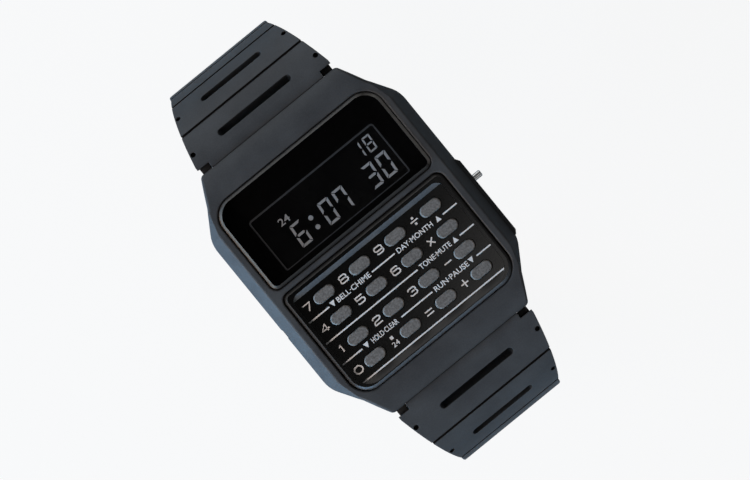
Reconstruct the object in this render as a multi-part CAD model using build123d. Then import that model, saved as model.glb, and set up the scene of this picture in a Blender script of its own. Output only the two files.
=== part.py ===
from build123d import *
import os
from math import acos, cos, pi, radians, sin, sqrt

# Calculator watch: a resin case on two resin strap halves, unbuckled, standing on the tail of the long half.
# X runs to 3 o'clock, Y to 12 o'clock, Z up. The origin lies on the table, under the middle of the case.
os.makedirs("parts", exist_ok=True)

# Case, as a stranger would measure it
case_length = 43.2
case_width = 34.4
case_height = 8.2
side_facet_inset = 1.6
side_facet_drop = 2.6
bottom_facet_rise = 2.1
bottom_facet_inset = 2.3
shoulder_inset = 2.8
shoulder_from_end = 4.2
end_inset = 4.9
corner_from_end = 8.4
shell_bottom = 0.5
end_drop = 1.4
end_roll_length = 3.6
end_wall_bottom = 3.2
bottom_rise_length = 4.0
case_edge_radius = 0.4
side_corner_radius = 4.5
shoulder_corner_radius = 0.8
case_top_width = case_width - 2 * side_facet_inset
case_shoulder_width = case_width - 2 * shoulder_inset
case_shoulder_length = case_length - 2 * shoulder_from_end
case_end_width = case_width - 2 * end_inset
case_side_length = case_length - 2 * corner_from_end
flat_top_length = case_length - 2 * end_roll_length
bottom_flat_length = case_length - 2 * bottom_rise_length

# Guard that stands proud of the right side, round the upper pusher
guard_proud = 0.4
guard_top_y = 0.2
guard_bottom_y = -12.3
guard_slant = 0.6
guard_height = 2.6

# Cavity for the module, open below
side_wall = 4.3
upper_end_wall = 5.1
lower_end_wall = 4.7
cavity_width = case_width - 2 * side_wall
cavity_top_y = case_length / 2 - upper_end_wall
cavity_bottom_y = lower_end_wall - case_length / 2
cavity_corner_cut = 3.2
top_wall = 2.2
cavity_ceiling = case_height - top_wall
corner_ledge_height = 3.2

# Windows in the top
crystal_side_rim = 1.1
crystal_end_rim = 4.7
panel_side_rim = 1.15
panel_end_rim = 4.3
crystal_half_width = case_top_width / 2 - crystal_side_rim
crystal_bottom_y = 2.1
crystal_top_y = case_length / 2 - crystal_end_rim
panel_bottom_y = panel_end_rim - case_length / 2
panel_top_y = 1.2
panel_half_width = case_top_width / 2 - panel_side_rim
window_large_radius = 3.2
window_small_radius = 1.3
window_gap = 0.1
window_edge_radius = 0.25
window_bevel = 0.45
crystal_thickness = 1.6
crystal_proud = 0.25
panel_thickness = 1.95
panel_proud = 0.15
window_ledge = 1.0
mask_thickness = 0.1
mask_side_border = 3.2
mask_lower_border = 1.3
mask_upper_border = 4.6
mask_window_width = 2 * (crystal_half_width - mask_side_border)
mask_window_bottom_y = crystal_bottom_y + mask_lower_border
mask_window_top_y = crystal_top_y - mask_upper_border

# Keypad field and keys
field_side_border = 1.0
field_upper_border = 1.06
field_lower_border = 0.7
field_half_width = panel_half_width - field_side_border
field_top_y = panel_top_y - field_upper_border
field_bottom_y = panel_bottom_y + field_lower_border
field_depth = 0.6
field_top_slope = 0.7
field_bottom_slope = 0.9
field_corner_radius = 2.8
key_columns = 4
key_rows = 4
key_left_margin = 4.25
key_right_margin = 3.34
key_upper_margin = 2.46
key_lower_margin = 2.95
key_first_x = key_left_margin - field_half_width
key_first_y = field_top_y - key_upper_margin
key_pitch_x = (2 * field_half_width - key_left_margin - key_right_margin) / (key_columns - 1)
key_pitch_y = (field_top_y - field_bottom_y - key_upper_margin - key_lower_margin) / (key_rows - 1)
key_length = 3.45
key_width = 1.7
key_proud = 0.7
key_edge_radius = 0.22
key_hole_gap = 0.1
key_flange_rim = 0.35
key_flange_thickness = 0.35
key_flange_gap = 0.05
key_foot_radius = 0.8
key_foot_length = 0.8
key_travel = 0.5

# Module inside the case
back_plate_rebate = 0.4
case_back_thickness = 0.9
case_back_side_inset = 3.0
case_back_end_inset = 3.8
case_back_width = case_width - 2 * case_back_side_inset
case_back_length = case_length - 2 * case_back_end_inset
case_back_corner = 2.4
case_back_edge = 0.3
fit_gap = 0.1
gasket_width = 0.7
gasket_height = 0.45
gasket_inset = 0.05
module_gap = 0.2
module_bottom = 1.4
board_below_ceiling = 2.4
board_bottom = cavity_ceiling - board_below_ceiling
board_thickness = 0.6
mat_margin = 0.5
dome_height = key_travel
dome_base_radius = 1.4
dome_top_radius = 1.0
dome_hollow_radius = 0.7
dome_hollow_depth = 0.4
lcd_side_gap = 0.6
lcd_lower_inset = 0.6
lcd_upper_inset = 3.4
lcd_width = cavity_width - 2 * lcd_side_gap
lcd_glass = 0.6
lcd_bottom_y = crystal_bottom_y + lcd_lower_inset
lcd_top_y = crystal_top_y - lcd_upper_inset
lcd_ledge = 0.8
lcd_ceiling_gap = 0.05
connector_width = 0.7
connector_end_inset = 1.3
connector_length = lcd_width - 2 * connector_end_inset
holder_wall = 1.3
battery_side_wall = 2.9
battery_end_wall = 1.3
buzzer_end_room = 12.1
clip_room = 0.4
# The cell is a disc as wide as the room across the module, or along it beside the buzzer, allows
battery_room_along = cavity_top_y - cavity_bottom_y - battery_end_wall - buzzer_end_room
battery_radius = min(cavity_width / 2 - battery_side_wall, battery_room_along / 2)
battery_y = cavity_bottom_y + battery_end_wall + battery_radius
battery_gap = 0.15
battery_rim_share = 0.15
battery_step = 1.0
battery_clip_width = 5.0
battery_clip_share = 1.2
spring_leaf = 0.12
back_plate_thickness = 0.2
battery_height = board_bottom - module_bottom - back_plate_thickness - clip_room
battery_rim = battery_rim_share * battery_height
battery_clip_length = battery_clip_share * battery_radius
buzzer_radius = 6.0
buzzer_thickness = 0.25
buzzer_from_top = 6.3
buzzer_y = cavity_top_y - buzzer_from_top
buzzer_spring_radius = 0.6
chip_radius = 3.0
chip_height_share = 0.41
chip_height = chip_height_share * (board_bottom - module_bottom)
chip_from_side = 6.5
chip_from_top = 5.5
chip_x = cavity_width / 2 - chip_from_side
chip_y = cavity_top_y - chip_from_top
crystal_can_gap = 0.15
crystal_can_radius = (board_bottom - module_bottom) / 2 - crystal_can_gap
crystal_can_length = 6.0
crystal_can_from_side = 5.3
crystal_can_from_top = 3.9
crystal_can_x = crystal_can_from_side - cavity_width / 2
crystal_can_y = cavity_top_y - crystal_can_from_top
coil_radius = 1.5
coil_over_back = 1.1
coil_height = board_bottom - case_back_thickness - coil_over_back
coil_x = 0.0
coil_from_top = 2.9
coil_y = cavity_top_y - coil_from_top
pocket_gap = 0.2

# Case-back screws
screw_side_inset = 1.8
screw_end_inset = 1.4
screw_x = case_back_width / 2 - screw_side_inset
screw_y = case_back_length / 2 - screw_end_inset
screw_radius = 0.5
screw_head_radius = 0.85
screw_head_height = 0.45
screw_length = 2.7
screw_slot = 0.22
screw_slot_depth = 0.2

# Pushers at the sides
pusher_y = -2.96
adjust_y = -3.2
pusher_height_share = 0.56
pusher_height = pusher_height_share * case_height
pusher_head_radius = 0.5
pusher_head_out = 1.3
pusher_head_in = 0.4
pusher_shaft_radius = 0.25
pusher_bore_depth = 1.9
pusher_rib_count = 10
pusher_rib_depth = 0.06
adjust_head_radius = 0.7
adjust_recess_radius = 1.3
adjust_recess_depth = 0.5
adjust_head_out = -0.35
adjust_head_in = 1.0
adjust_bore_depth = 2.4
running_gap = 0.05
clip_radius = 0.75
clip_thickness = 0.2
pusher_tail = 0.25
seal_width = 0.3
seal_outer_radius = 0.5
pusher_spring_wall = 0.15
pusher_travel = 0.8
adjust_travel = 0.6

# Lugs and the strap's joint to the case
pivot_height_share = 0.506
pivot_height = pivot_height_share * case_height
pivot_beyond_end = 0.5
ear_width = 2.0
tongue_gap = 0.15
tongue_width = case_end_width - 2 * (ear_width + tongue_gap)
barrel_radius = 2.65
barrel_gap = 0.12
ear_radius = 1.5
ear_inset = 0.5
ear_gap = 0.3
notch_length = 0.9

# Spring bars
bar_radius = 0.75
bar_wall = 0.2
bar_clearance = 0.05
tip_radius = 0.4
tip_flange_radius = 0.62
tip_flange_width = 0.2
tip_reach = 1.1
tip_hole_gap = 0.05
piston_length = 2.3
piston_gap = 0.03
bar_spring_wall = 0.15

# Strap
strap_thickness = 2.2
strap_side_gap = 0.2
strap_shoulder_width = case_end_width - 2 * strap_side_gap
strap_waist = 3.2
strap_width = case_end_width - 2 * strap_waist
strap_edge_radius = 0.3
strap_leave_angle = 20.0
strap_drop_angle = 90.0
taper_end_angle = 70.0
shoulder_bend = 17.2
filler_angle = 52.0
filler_start_angle = -98.0
long_run = 20.7
heel_bend = 24.0
tail_run = 33.9
curl_bend = 24.0
curl_turn = 100.0
tip_corner_radius = 6.5
slot_length_share = 0.72
second_slot_length_share = 0.6
slot_length = slot_length_share * strap_width
second_slot_length = second_slot_length_share * strap_width
slot_width = 1.2
groove_width = 0.45
groove_depth = 0.35
upper_slot_first = 1.85
upper_pitch = 3.6
lower_slot_first = 2.4
lower_pitch = 4.2
dimple_radius = 0.4
dimple_inset = 0.15
dimple_depth = 0.6
hole_length = 2.6
hole_width = 1.8
hole_pitch = 6.0
hole_count = 10
hole_from_tip = 16.0
holes_clear = 4.0

# Buckle, tang and keeper
end_barrel_radius = 1.5
end_barrel_reach = 1.2
tang_slot_gap = 0.25
buckle_gap = 0.2
buckle_arm = 1.8
buckle_thickness = 2.2
buckle_length = 13.4
buckle_front = 2.0
buckle_corner = 2.0
buckle_tip_margin = 1.6
tang_width = 2.0
tang_thickness = 0.9
tang_ring = 0.6
tang_rest_gap = 0.05
tang_overhang = 0.3
keeper_wall = 1.1
keeper_length = 5.5
keeper_gap = 0.3
keeper_angle = 158.0
cut_over = 1.0

# Outer face of a strap half, drawn in the plane of Y and Z as runs and arcs that all turn towards the wrist
leave = radians(strap_leave_angle)
pivot_y = case_length / 2 + pivot_beyond_end
drop_turn = radians(strap_drop_angle - strap_leave_angle)
shoulder_rise = shoulder_bend * (cos(leave) - cos(radians(strap_drop_angle)))
strap_start_z = heel_bend + long_run + shoulder_rise
pivot_z = strap_start_z - barrel_radius * cos(leave)
case_bottom_z = pivot_z - pivot_height
strap_start_y = pivot_y + barrel_radius * sin(leave)
long_path = [(shoulder_bend, drop_turn), (None, long_run), (heel_bend, pi / 2), (None, tail_run)]
curl_path = [(shoulder_bend, drop_turn), (curl_bend, radians(curl_turn))]
shoulder_centre_y = strap_start_y - shoulder_bend * sin(leave)
shoulder_centre_z = strap_start_z - shoulder_bend * cos(leave)
limb_y = shoulder_centre_y + shoulder_bend
curl_centre_y = limb_y - curl_bend
curl_centre_z = heel_bend + long_run

side_plane = Plane(origin=(0, 0, 0), x_dir=(0, 1, 0), z_dir=(1, 0, 0))
big = case_length + case_width


def height(above_case_bottom):
    """World height of a place given above the case's underside."""
    return case_bottom_z + above_case_bottom


def block(x0, x1, y0, y1, z0, z1):
    """Box between six limits."""
    centre = Location(((x0 + x1) / 2, (y0 + y1) / 2, (z0 + z1) / 2))
    return centre * Box(x1 - x0, y1 - y0, z1 - z0)


def prism(face, z0, z1):
    """Plan outline carried up from one height to another."""
    return Location((0, 0, z0)) * extrude(face, amount=z1 - z0)


def cylinder_x(radius, x0, x1, y, z):
    """Round bar along X."""
    return Location(((x0 + x1) / 2, y, z), (0, 90, 0)) * Cylinder(radius, x1 - x0)


def cylinder_z(radius, x, y, z0, z1):
    """Round bar along Z."""
    return Location((x, y, (z0 + z1) / 2)) * Cylinder(radius, z1 - z0)


def outline(points, radii):
    """Closed plan outline with a radius at each corner."""
    return make_face(FilletPolyline(*points, radius=radii, close=True))


def window(half_width, bottom, top, bottom_radius, top_radius):
    """Rectangle with one radius at its lower corners and another at its upper ones."""
    corners = [(-half_width, bottom), (half_width, bottom), (half_width, top), (-half_width, top)]
    return outline(corners, [bottom_radius, bottom_radius, top_radius, top_radius])


def cut_corners(half_x, bottom, top, cut):
    """Rectangle with its four corners cut off at 45 degrees."""
    points = [
        (half_x, bottom + cut), (half_x, top - cut), (half_x - cut, top), (cut - half_x, top),
        (-half_x, top - cut), (-half_x, bottom + cut), (cut - half_x, bottom), (half_x - cut, bottom),
    ]
    return make_face(Polyline(*points, close=True))


def half_space(point, normal):
    """Everything beyond a plane, for cutting facets."""
    beyond = Box(big, big, big, align=(Align.CENTER, Align.CENTER, Align.MIN))
    return Plane(origin=point, z_dir=normal) * beyond


def both_ends(piece):
    """The piece with its mirror image at the other end of the case."""
    return piece + mirror(piece, about=Plane.XZ)


def both_sides(piece):
    """The piece with its mirror image at the other side of the case."""
    return piece + mirror(piece, about=Plane.YZ)


def save(name, piece):
    """Writes one piece, or one group of like pieces, to its own file."""
    export_step(piece, f"parts/{name}.step")


def side_profile(points_and_arcs):
    """Face in the plane of Y and Z from edges given in order."""
    return side_plane * Face(Wire(points_and_arcs))


# Path of the strap
def trace(path, distance):
    """Place, inward turn and direction of the outer face at a distance along the path."""
    y, z, turn = strap_start_y, strap_start_z, leave
    left = distance
    for radius, amount in path:
        if radius is None:
            step = min(left, amount)
            y += step * cos(turn)
            z -= step * sin(turn)
        else:
            step = min(left, radius * amount)
            swept = step / radius
            y += radius * (sin(turn + swept) - sin(turn))
            z -= radius * (cos(turn) - cos(turn + swept))
            turn += swept
        left -= step
        if left <= 0:
            break
    return y, z, turn


def path_length(path):
    """Length of a path's outer face."""
    return sum(amount if radius is None else radius * amount for radius, amount in path)


def strap_plane(path, distance):
    """Frame on the outer face: X across the strap, Z out of it."""
    y, z, turn = trace(path, distance)
    return Plane(origin=(0, y, z), x_dir=(1, 0, 0), z_dir=(0, sin(turn), cos(turn)))


def band_edges(path, depth):
    """Edges of the outer face, or of the face a depth below it."""
    edges = []
    start = 0
    for radius, amount in path:
        length = amount if radius is None else radius * amount
        spots = []
        for share in (0, 0.5, 1):
            y, z, turn = trace(path, start + share * length)
            spots.append((y - depth * sin(turn), z - depth * cos(turn)))
        if radius is None:
            edges.append(Edge.make_line(spots[0], spots[2]))
        else:
            edges.append(Edge.make_three_point_arc(*spots))
        start += length
    return edges


def band(path):
    """Side view of a strap half of even thickness."""
    outer = band_edges(path, 0)
    inner = band_edges(path, strap_thickness)
    near = Edge.make_line(outer[0] @ 0, inner[0] @ 0)
    far = Edge.make_line(outer[-1] @ 1, inner[-1] @ 1)
    return side_profile([near] + outer + [far] + inner)


def strap_root():
    """Round end on the spring bar, thickened where it runs into the strap."""
    barrel = side_plane * Pos(pivot_y, pivot_z) * Circle(barrel_radius)
    thick = radians(filler_angle)
    start = radians(filler_start_angle)
    inner = shoulder_bend - strap_thickness
    middle = shoulder_bend - strap_thickness / 2
    filler = Polyline(
        (pivot_y, pivot_z),
        (pivot_y + barrel_radius * cos(start), pivot_z + barrel_radius * sin(start)),
        (shoulder_centre_y + inner * sin(thick), shoulder_centre_z + inner * cos(thick)),
        (shoulder_centre_y + middle * sin(thick), shoulder_centre_z + middle * cos(thick)),
        (strap_start_y - strap_thickness / 2 * sin(leave), strap_start_z - strap_thickness / 2 * cos(leave)),
        close=True,
    )
    return barrel, side_plane * make_face(filler)


def strap_body(path):
    """Strap half before its slots: a tongue between the ears, shoulders beside them and the band."""
    barrel, filler = strap_root()
    side = band(path) + filler
    root = side + barrel
    tongue = extrude(root, amount=tongue_width / 2, both=True)
    full = extrude(root, amount=strap_shoulder_width / 2, both=True)
    shoulder_y = case_length / 2 + notch_length
    before = block(-big, big, shoulder_y - big, shoulder_y, pivot_z - 2 * barrel_radius, height(case_height))
    round_ears = cylinder_x(ear_radius + ear_gap, -big, big, pivot_y, pivot_z)
    # The taper is flat: two planes that lean with the middle of the first bend
    lean = radians((strap_leave_angle + taper_end_angle) / 2)
    spread = radians((taper_end_angle - strap_leave_angle) / 2)
    fall = (strap_shoulder_width - strap_width) / 2 / (2 * shoulder_bend * sin(spread))
    middle_half = (strap_shoulder_width + strap_width) / 4
    body = tongue + (full - before - round_ears)
    reach = shoulder_bend * sin(spread)
    taper_end = (0, shoulder_centre_y + reach * cos(lean), shoulder_centre_z - reach * sin(lean))
    near_case = half_space(taper_end, (0, -cos(lean), sin(lean)))
    near_case = near_case & half_space((0, 0, curl_centre_z), (0, 0, 1))
    for sign in (1, -1):
        spot = (sign * middle_half, shoulder_centre_y, shoulder_centre_z)
        taper = half_space(spot, (sign, fall * cos(lean), -fall * sin(lean)))
        straight = half_space((sign * strap_width / 2, 0, case_bottom_z / 2), (sign, 0, 0))
        body = body - (taper & near_case) - (straight - near_case)
    return body


def soften_sides(body):
    """Rounds the long edges where the strap's sides are parallel."""
    edges = []
    for edge in body.edges():
        beside = abs(abs((edge @ 0.5).X) - strap_width / 2) < running_gap
        if beside and edge.length > strap_thickness + cut_over:
            edges.append(edge)
    return fillet(edges, strap_edge_radius)


def slot_cut(path, distance, length, width, top, bottom):
    """Round-ended slot across the strap between two depths of its outer face."""
    frame = strap_plane(path, distance)
    return frame * Location((0, 0, bottom)) * extrude(SlotOverall(length, width), amount=top - bottom)


def groove_cut(path, distance):
    """Shallow groove over the whole width."""
    frame = strap_plane(path, distance)
    return frame * Box(strap_shoulder_width + cut_over, groove_width, 2 * groove_depth)


def dimple_cuts(path, distance, half_width):
    """Small round dents at both edges, in line with a slot."""
    frame = strap_plane(path, distance)
    spot = half_width - dimple_radius - dimple_inset
    return [frame * Location((x, 0, 0)) * Cylinder(dimple_radius, 2 * dimple_depth) for x in (spot, -spot)]


def half_width_at(path, distance):
    """Half-width of the strap at a distance along it."""
    turn = trace(path, distance)[2]
    lean = radians((strap_leave_angle + taper_end_angle) / 2)
    spread = radians((taper_end_angle - strap_leave_angle) / 2)
    middle_half = (strap_shoulder_width + strap_width) / 4
    fall = (strap_shoulder_width - strap_width) / 4 / sin(spread)
    return max(strap_width / 2, middle_half - fall * sin(turn - lean))


def ladder_cuts(path, first, pitch, last):
    """Slots near the case, then grooves, at an even pitch as far as a given distance."""
    cuts = []
    through = strap_thickness + 2 * barrel_radius
    count = int((last - first) / pitch) + 1
    for index in range(count):
        distance = first + index * pitch
        if index == 0:
            cuts.append(slot_cut(path, distance, slot_length, slot_width, cut_over, -through))
            cuts += dimple_cuts(path, distance, half_width_at(path, distance))
        elif index == 2:
            cuts.append(slot_cut(path, distance, second_slot_length, slot_width, cut_over, -through))
            cuts += dimple_cuts(path, distance, half_width_at(path, distance))
        else:
            cuts.append(groove_cut(path, distance))
    return cuts


def bar_bore(y, z):
    """Bore through a strap half for a spring bar."""
    return cylinder_x(bar_radius + bar_clearance, -big, big, y, z)


# Case shell
def case_plan():
    """Plan of the case: parallel sides, cut shoulders and narrow ends."""
    end_x = case_end_width / 2
    end_y = case_length / 2
    shoulder_x = case_shoulder_width / 2
    shoulder_y = case_shoulder_length / 2
    side_x = case_width / 2
    side_y = case_side_length / 2
    quarter = [(side_x, side_y), (shoulder_x, shoulder_y), (end_x, end_y)]
    radii = [side_corner_radius, shoulder_corner_radius, shoulder_corner_radius]
    points = quarter + [(-x, y) for x, y in reversed(quarter)]
    points += [(-x, -y) for x, y in quarter] + [(x, -y) for x, y in reversed(quarter)]
    return outline(points, radii + radii[::-1] + radii + radii[::-1])


def case_side():
    """Side view: flat top that rolls down to both ends, underside that rises to them."""
    flat = flat_top_length / 2
    end = case_length / 2
    bottom = bottom_flat_length / 2
    run = end - flat
    roll = (run * run + end_drop * end_drop) / (2 * end_drop)
    half_angle = radians(90) - 0.5 * acos(1 - end_drop / roll)
    top = height(case_height)
    low = top - end_drop
    middle = (flat + roll * cos(half_angle), top - roll + roll * sin(half_angle))
    right = Edge.make_three_point_arc((flat, top), middle, (end, low))
    left = Edge.make_three_point_arc((-end, low), (-middle[0], middle[1]), (-flat, top))
    floor = height(shell_bottom)
    lip = height(end_wall_bottom)
    corners = [(end, low), (end, lip), (bottom, floor), (-bottom, floor), (-end, lip), (-end, low)]
    lines = [Edge.make_line(corners[i], corners[i + 1]) for i in range(len(corners) - 1)]
    ridge = Edge.make_line((-flat, top), (flat, top))
    return side_profile([ridge, right] + lines + [left])


def case_front():
    """View along Y: sloped facets above and below the upright sides."""
    side = case_width / 2
    top_x = case_top_width / 2
    top = height(case_height)
    floor = height(shell_bottom)
    points = [
        (side - bottom_facet_inset, floor), (side, floor + bottom_facet_rise), (side, top - side_facet_drop),
        (top_x, top), (-top_x, top), (-side, top - side_facet_drop), (-side, floor + bottom_facet_rise),
        (bottom_facet_inset - side, floor),
    ]
    front_plane = Plane(origin=(0, 0, 0), x_dir=(1, 0, 0), z_dir=(0, -1, 0))
    return extrude(front_plane * make_face(Polyline(*points, close=True)), amount=big, both=True)


def corner_facets():
    """Four facets that carry the side facets round to nothing at the shoulders."""
    top = height(case_height)
    shoulder = Vector(case_shoulder_width / 2, case_shoulder_length / 2, top)
    inner = Vector(case_top_width / 2, case_side_length / 2, top)
    outer = Vector(case_width / 2, case_side_length / 2, top - side_facet_drop)
    normal = (inner - shoulder).cross(outer - shoulder)
    if normal.Z < 0:
        normal = normal * -1
    cut = half_space(shoulder, normal) & block(0, big, 0, big, height(0), top + case_height)
    return both_ends(both_sides(cut))


def long_case_edges(solid):
    """Long upper edges of the case: across both ends and along both edges of each side facet."""
    above = height(case_height / 2)
    edges = []
    for edge in solid.edges():
        middle = edge @ 0.5
        across = abs(middle.X) < running_gap and abs(middle.Y) > flat_top_length / 2 + running_gap
        along = abs(middle.Y) < running_gap
        if middle.Z > above and (across or along):
            edges.append(edge)
    return edges


def window_edges(solid):
    """Upper edges of the two windows in the case."""
    top = height(case_height)
    reach_x = crystal_half_width + fit_gap
    reach_y = flat_top_length / 2 - case_edge_radius
    edges = []
    for edge in solid.edges():
        middle = edge @ 0.5
        inside = abs(middle.X) < reach_x and abs(middle.Y) < reach_y
        if inside and abs(middle.Z - top) < running_gap:
            edges.append(edge)
    return edges


def guard():
    """Raised guard along the right side."""
    side = case_width / 2
    out = side + guard_proud
    inside = side - guard_proud
    points = [
        (inside, guard_top_y + guard_slant), (side, guard_top_y + guard_slant), (out, guard_top_y),
        (out, guard_bottom_y), (side, guard_bottom_y - guard_slant), (inside, guard_bottom_y - guard_slant),
    ]
    face = make_face(Polyline(*points, close=True))
    return prism(face, height(pusher_height - guard_height / 2), height(pusher_height + guard_height / 2))


def ears():
    """Lugs: a round ear at each corner, with a web back to the case."""
    inner = tongue_width / 2 + tongue_gap
    outer = case_end_width / 2 - ear_inset
    ear = cylinder_x(ear_radius, inner, outer, pivot_y, pivot_z)
    web = block(inner, outer, pivot_y - 2 * ear_radius, pivot_y, pivot_z - ear_radius, pivot_z + ear_radius)
    return both_ends(both_sides(ear + web))


def tongue_pockets():
    """Round pockets in both ends for the strap's round ends."""
    inner = tongue_width / 2 + tongue_gap
    pocket = cylinder_x(barrel_radius + barrel_gap, -inner, inner, pivot_y, pivot_z)
    return both_ends(pocket)


def tip_holes():
    """Blind holes in the ears for the spring bars' tips."""
    inner = tongue_width / 2 + tongue_gap
    end = inner + tip_reach + tip_hole_gap
    hole = cylinder_x(tip_radius + tip_hole_gap, inner - tongue_gap, end, pivot_y, pivot_z)
    return both_ends(both_sides(hole))


def cavity():
    """Room for the module: cut corners low down, where the screws pass, and full corners above."""
    half = cavity_width / 2
    low = prism(
        cut_corners(half, cavity_bottom_y, cavity_top_y, cavity_corner_cut),
        height(0), height(corner_ledge_height),
    )
    full = window(half, cavity_bottom_y, cavity_top_y, window_small_radius, window_small_radius)
    return low + prism(full, height(corner_ledge_height), height(cavity_ceiling))


def crystal_seat():
    """Height of the ledge that the crystal sits on."""
    return case_height + crystal_proud - crystal_thickness


def panel_seat():
    """Height of the ledge that the keypad panel sits on."""
    return case_height + panel_proud - panel_thickness


def window_cuts():
    """Both windows in the top, each with a ledge below it."""
    crystal = window(
        crystal_half_width, crystal_bottom_y, crystal_top_y, window_small_radius, window_large_radius
    )
    panel = window(panel_half_width, panel_bottom_y, panel_top_y, window_large_radius, window_small_radius)
    half = cavity_width / 2
    below_crystal = window(
        half, crystal_bottom_y + window_ledge, crystal_top_y - window_ledge,
        window_small_radius, window_small_radius,
    )
    below_panel = window(
        half, cavity_bottom_y, panel_top_y - window_ledge, window_small_radius, window_small_radius
    )
    over = height(case_height + cut_over)
    cuts = prism(crystal, height(crystal_seat()), over) + prism(panel, height(panel_seat()), over)
    cuts += prism(below_crystal, height(cavity_ceiling - cut_over), height(crystal_seat() + cut_over))
    return cuts + prism(below_panel, height(cavity_ceiling - cut_over), height(panel_seat() + cut_over))


def back_cuts():
    """Rebate for the case back, groove for its gasket and holes for its screws."""
    rebate = window(
        case_back_width / 2 + fit_gap, -case_back_length / 2 - fit_gap, case_back_length / 2 + fit_gap,
        case_back_corner, case_back_corner,
    )
    seat = height(shell_bottom + back_plate_rebate)
    groove = gasket_ring(gasket_width + gasket_inset + fit_gap, 0, 0, gasket_height + fit_gap)
    hole = cylinder_z(screw_radius, screw_x, screw_y, height(0), height(screw_length + fit_gap))
    return prism(rebate, height(0), seat) + groove + both_ends(both_sides(hole))


def gasket_ring(outer, inner, start, rise):
    """Ring round the cavity's mouth, between two offsets from its edge."""
    half = cavity_width / 2
    base = shell_bottom + back_plate_rebate
    # A sloped corner moves out as far as the sides do, so its cut grows by this share of the offset
    corner_share = 2 - sqrt(2)
    rings = []
    for grown in (outer, inner):
        cut = cavity_corner_cut + grown * corner_share
        rings.append(cut_corners(half + grown, cavity_bottom_y - grown, cavity_top_y + grown, cut))
    wide, slim = rings
    return prism(wide - slim, height(base + start), height(base + rise))


def pusher_wall():
    """Places along X of the right pusher's bore: outside, shoulder and inside wall."""
    out = case_width / 2 + guard_proud
    return out, out - pusher_bore_depth, cavity_width / 2


def adjust_wall():
    """The same places for the left pusher, as distances from the middle."""
    out = case_width / 2
    return out, out - adjust_bore_depth, cavity_width / 2


def pusher_bore(walls, head_radius, y):
    """Stepped bore for a pusher on the right."""
    out, shoulder, inside = walls
    z = height(pusher_height)
    wide = cylinder_x(head_radius + running_gap, shoulder, out + cut_over, y, z)
    narrow = cylinder_x(pusher_shaft_radius + running_gap, inside - cut_over, shoulder, y, z)
    return wide + narrow + seal_room(walls, y)


def seal_room(walls, y):
    """Recess at the bore's shoulder for the rubber seal."""
    shoulder = walls[1]
    z = height(pusher_height)
    return cylinder_x(seal_outer_radius, shoulder - seal_width, shoulder + running_gap, y, z)


def build_case_shell():
    """Case shell of one moulding."""
    solid = prism(case_plan(), height(0), height(case_height + cut_over))
    solid = solid & extrude(case_side(), amount=case_width, both=True)
    solid = solid & case_front()
    solid = solid - corner_facets()
    solid = fillet(long_case_edges(solid), case_edge_radius)
    solid = solid + guard() + ears()
    solid = solid - tongue_pockets() - tip_holes() - cavity() - window_cuts() - back_cuts()
    solid = fillet(window_edges(solid), window_edge_radius)
    solid = solid - pusher_bore(pusher_wall(), pusher_head_radius, pusher_y)
    left = pusher_bore(adjust_wall(), adjust_head_radius, adjust_y)
    side = case_width / 2
    z = height(pusher_height)
    recess = cylinder_x(adjust_recess_radius, side - adjust_recess_depth, side + cut_over, adjust_y, z)
    return solid - mirror(left + recess, about=Plane.YZ)


# Windows and the keypad
def build_display_window():
    """Clear crystal with a bevel round its top."""
    gap = window_gap
    face = window(
        crystal_half_width - gap, crystal_bottom_y + gap, crystal_top_y - gap,
        window_small_radius - gap, window_large_radius - gap,
    )
    seat = crystal_seat()
    solid = prism(face, height(seat), height(seat + crystal_thickness))
    return chamfer(solid.faces().sort_by(Axis.Z)[-1].edges(), window_bevel)


def build_display_mask():
    """Thin black mask under the crystal, open over the display."""
    gap = fit_gap
    seat = crystal_seat()
    outer = window(
        cavity_width / 2 - gap, crystal_bottom_y + window_ledge + gap, crystal_top_y - window_ledge - gap,
        window_small_radius - gap, window_small_radius - gap,
    )
    opening = window(
        mask_window_width / 2, mask_window_bottom_y, mask_window_top_y, window_bevel, window_bevel
    )
    return prism(outer - opening, height(seat - mask_thickness), height(seat))


def build_keypad_panel():
    """Keypad panel with a sunk field and a hole for each key."""
    gap = window_gap
    face = window(
        panel_half_width - gap, panel_bottom_y + gap, panel_top_y - gap,
        window_large_radius - gap, window_small_radius - gap,
    )
    seat = panel_seat()
    top = seat + panel_thickness
    solid = prism(face, height(seat), height(top))
    solid = chamfer(solid.faces().sort_by(Axis.Z)[-1].edges(), window_bevel)
    rise = cut_over
    slope_top = field_top_slope / field_depth
    slope_bottom = field_bottom_slope / field_depth
    floor = height(top - field_depth)
    mouth = height(top) + rise
    sides = [
        (field_bottom_y + field_bottom_slope, floor), (field_top_y - field_top_slope, floor),
        (field_top_y + rise * slope_top, mouth), (field_bottom_y - rise * slope_bottom, mouth),
    ]
    trough = extrude(side_plane * make_face(Polyline(*sides, close=True)), amount=field_half_width, both=True)
    plan = window(field_half_width, field_bottom_y, field_top_y, field_corner_radius, window_small_radius)
    solid = solid - (trough & prism(plan, floor - rise, mouth + rise))
    hole = SlotOverall(key_length + 2 * key_hole_gap, key_width + 2 * key_hole_gap)
    for x, y in key_places():
        solid = solid - prism(Location((x, y, 0)) * hole, height(seat - cut_over), mouth)
    return solid


def key_places():
    """Middles of the keys, row by row from the top left."""
    columns = [key_first_x + key_pitch_x * i for i in range(key_columns)]
    rows = [key_first_y - key_pitch_y * i for i in range(key_rows)]
    return [(x, y) for y in rows for x in columns]


def key_levels():
    """Heights of a key: foot, underside of the flange, top of the flange and crown."""
    flange_top = panel_seat() - key_flange_gap
    flange = flange_top - key_flange_thickness
    crown = case_height + panel_proud - field_depth + key_proud
    return flange - key_foot_length, flange, flange_top, crown


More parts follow.
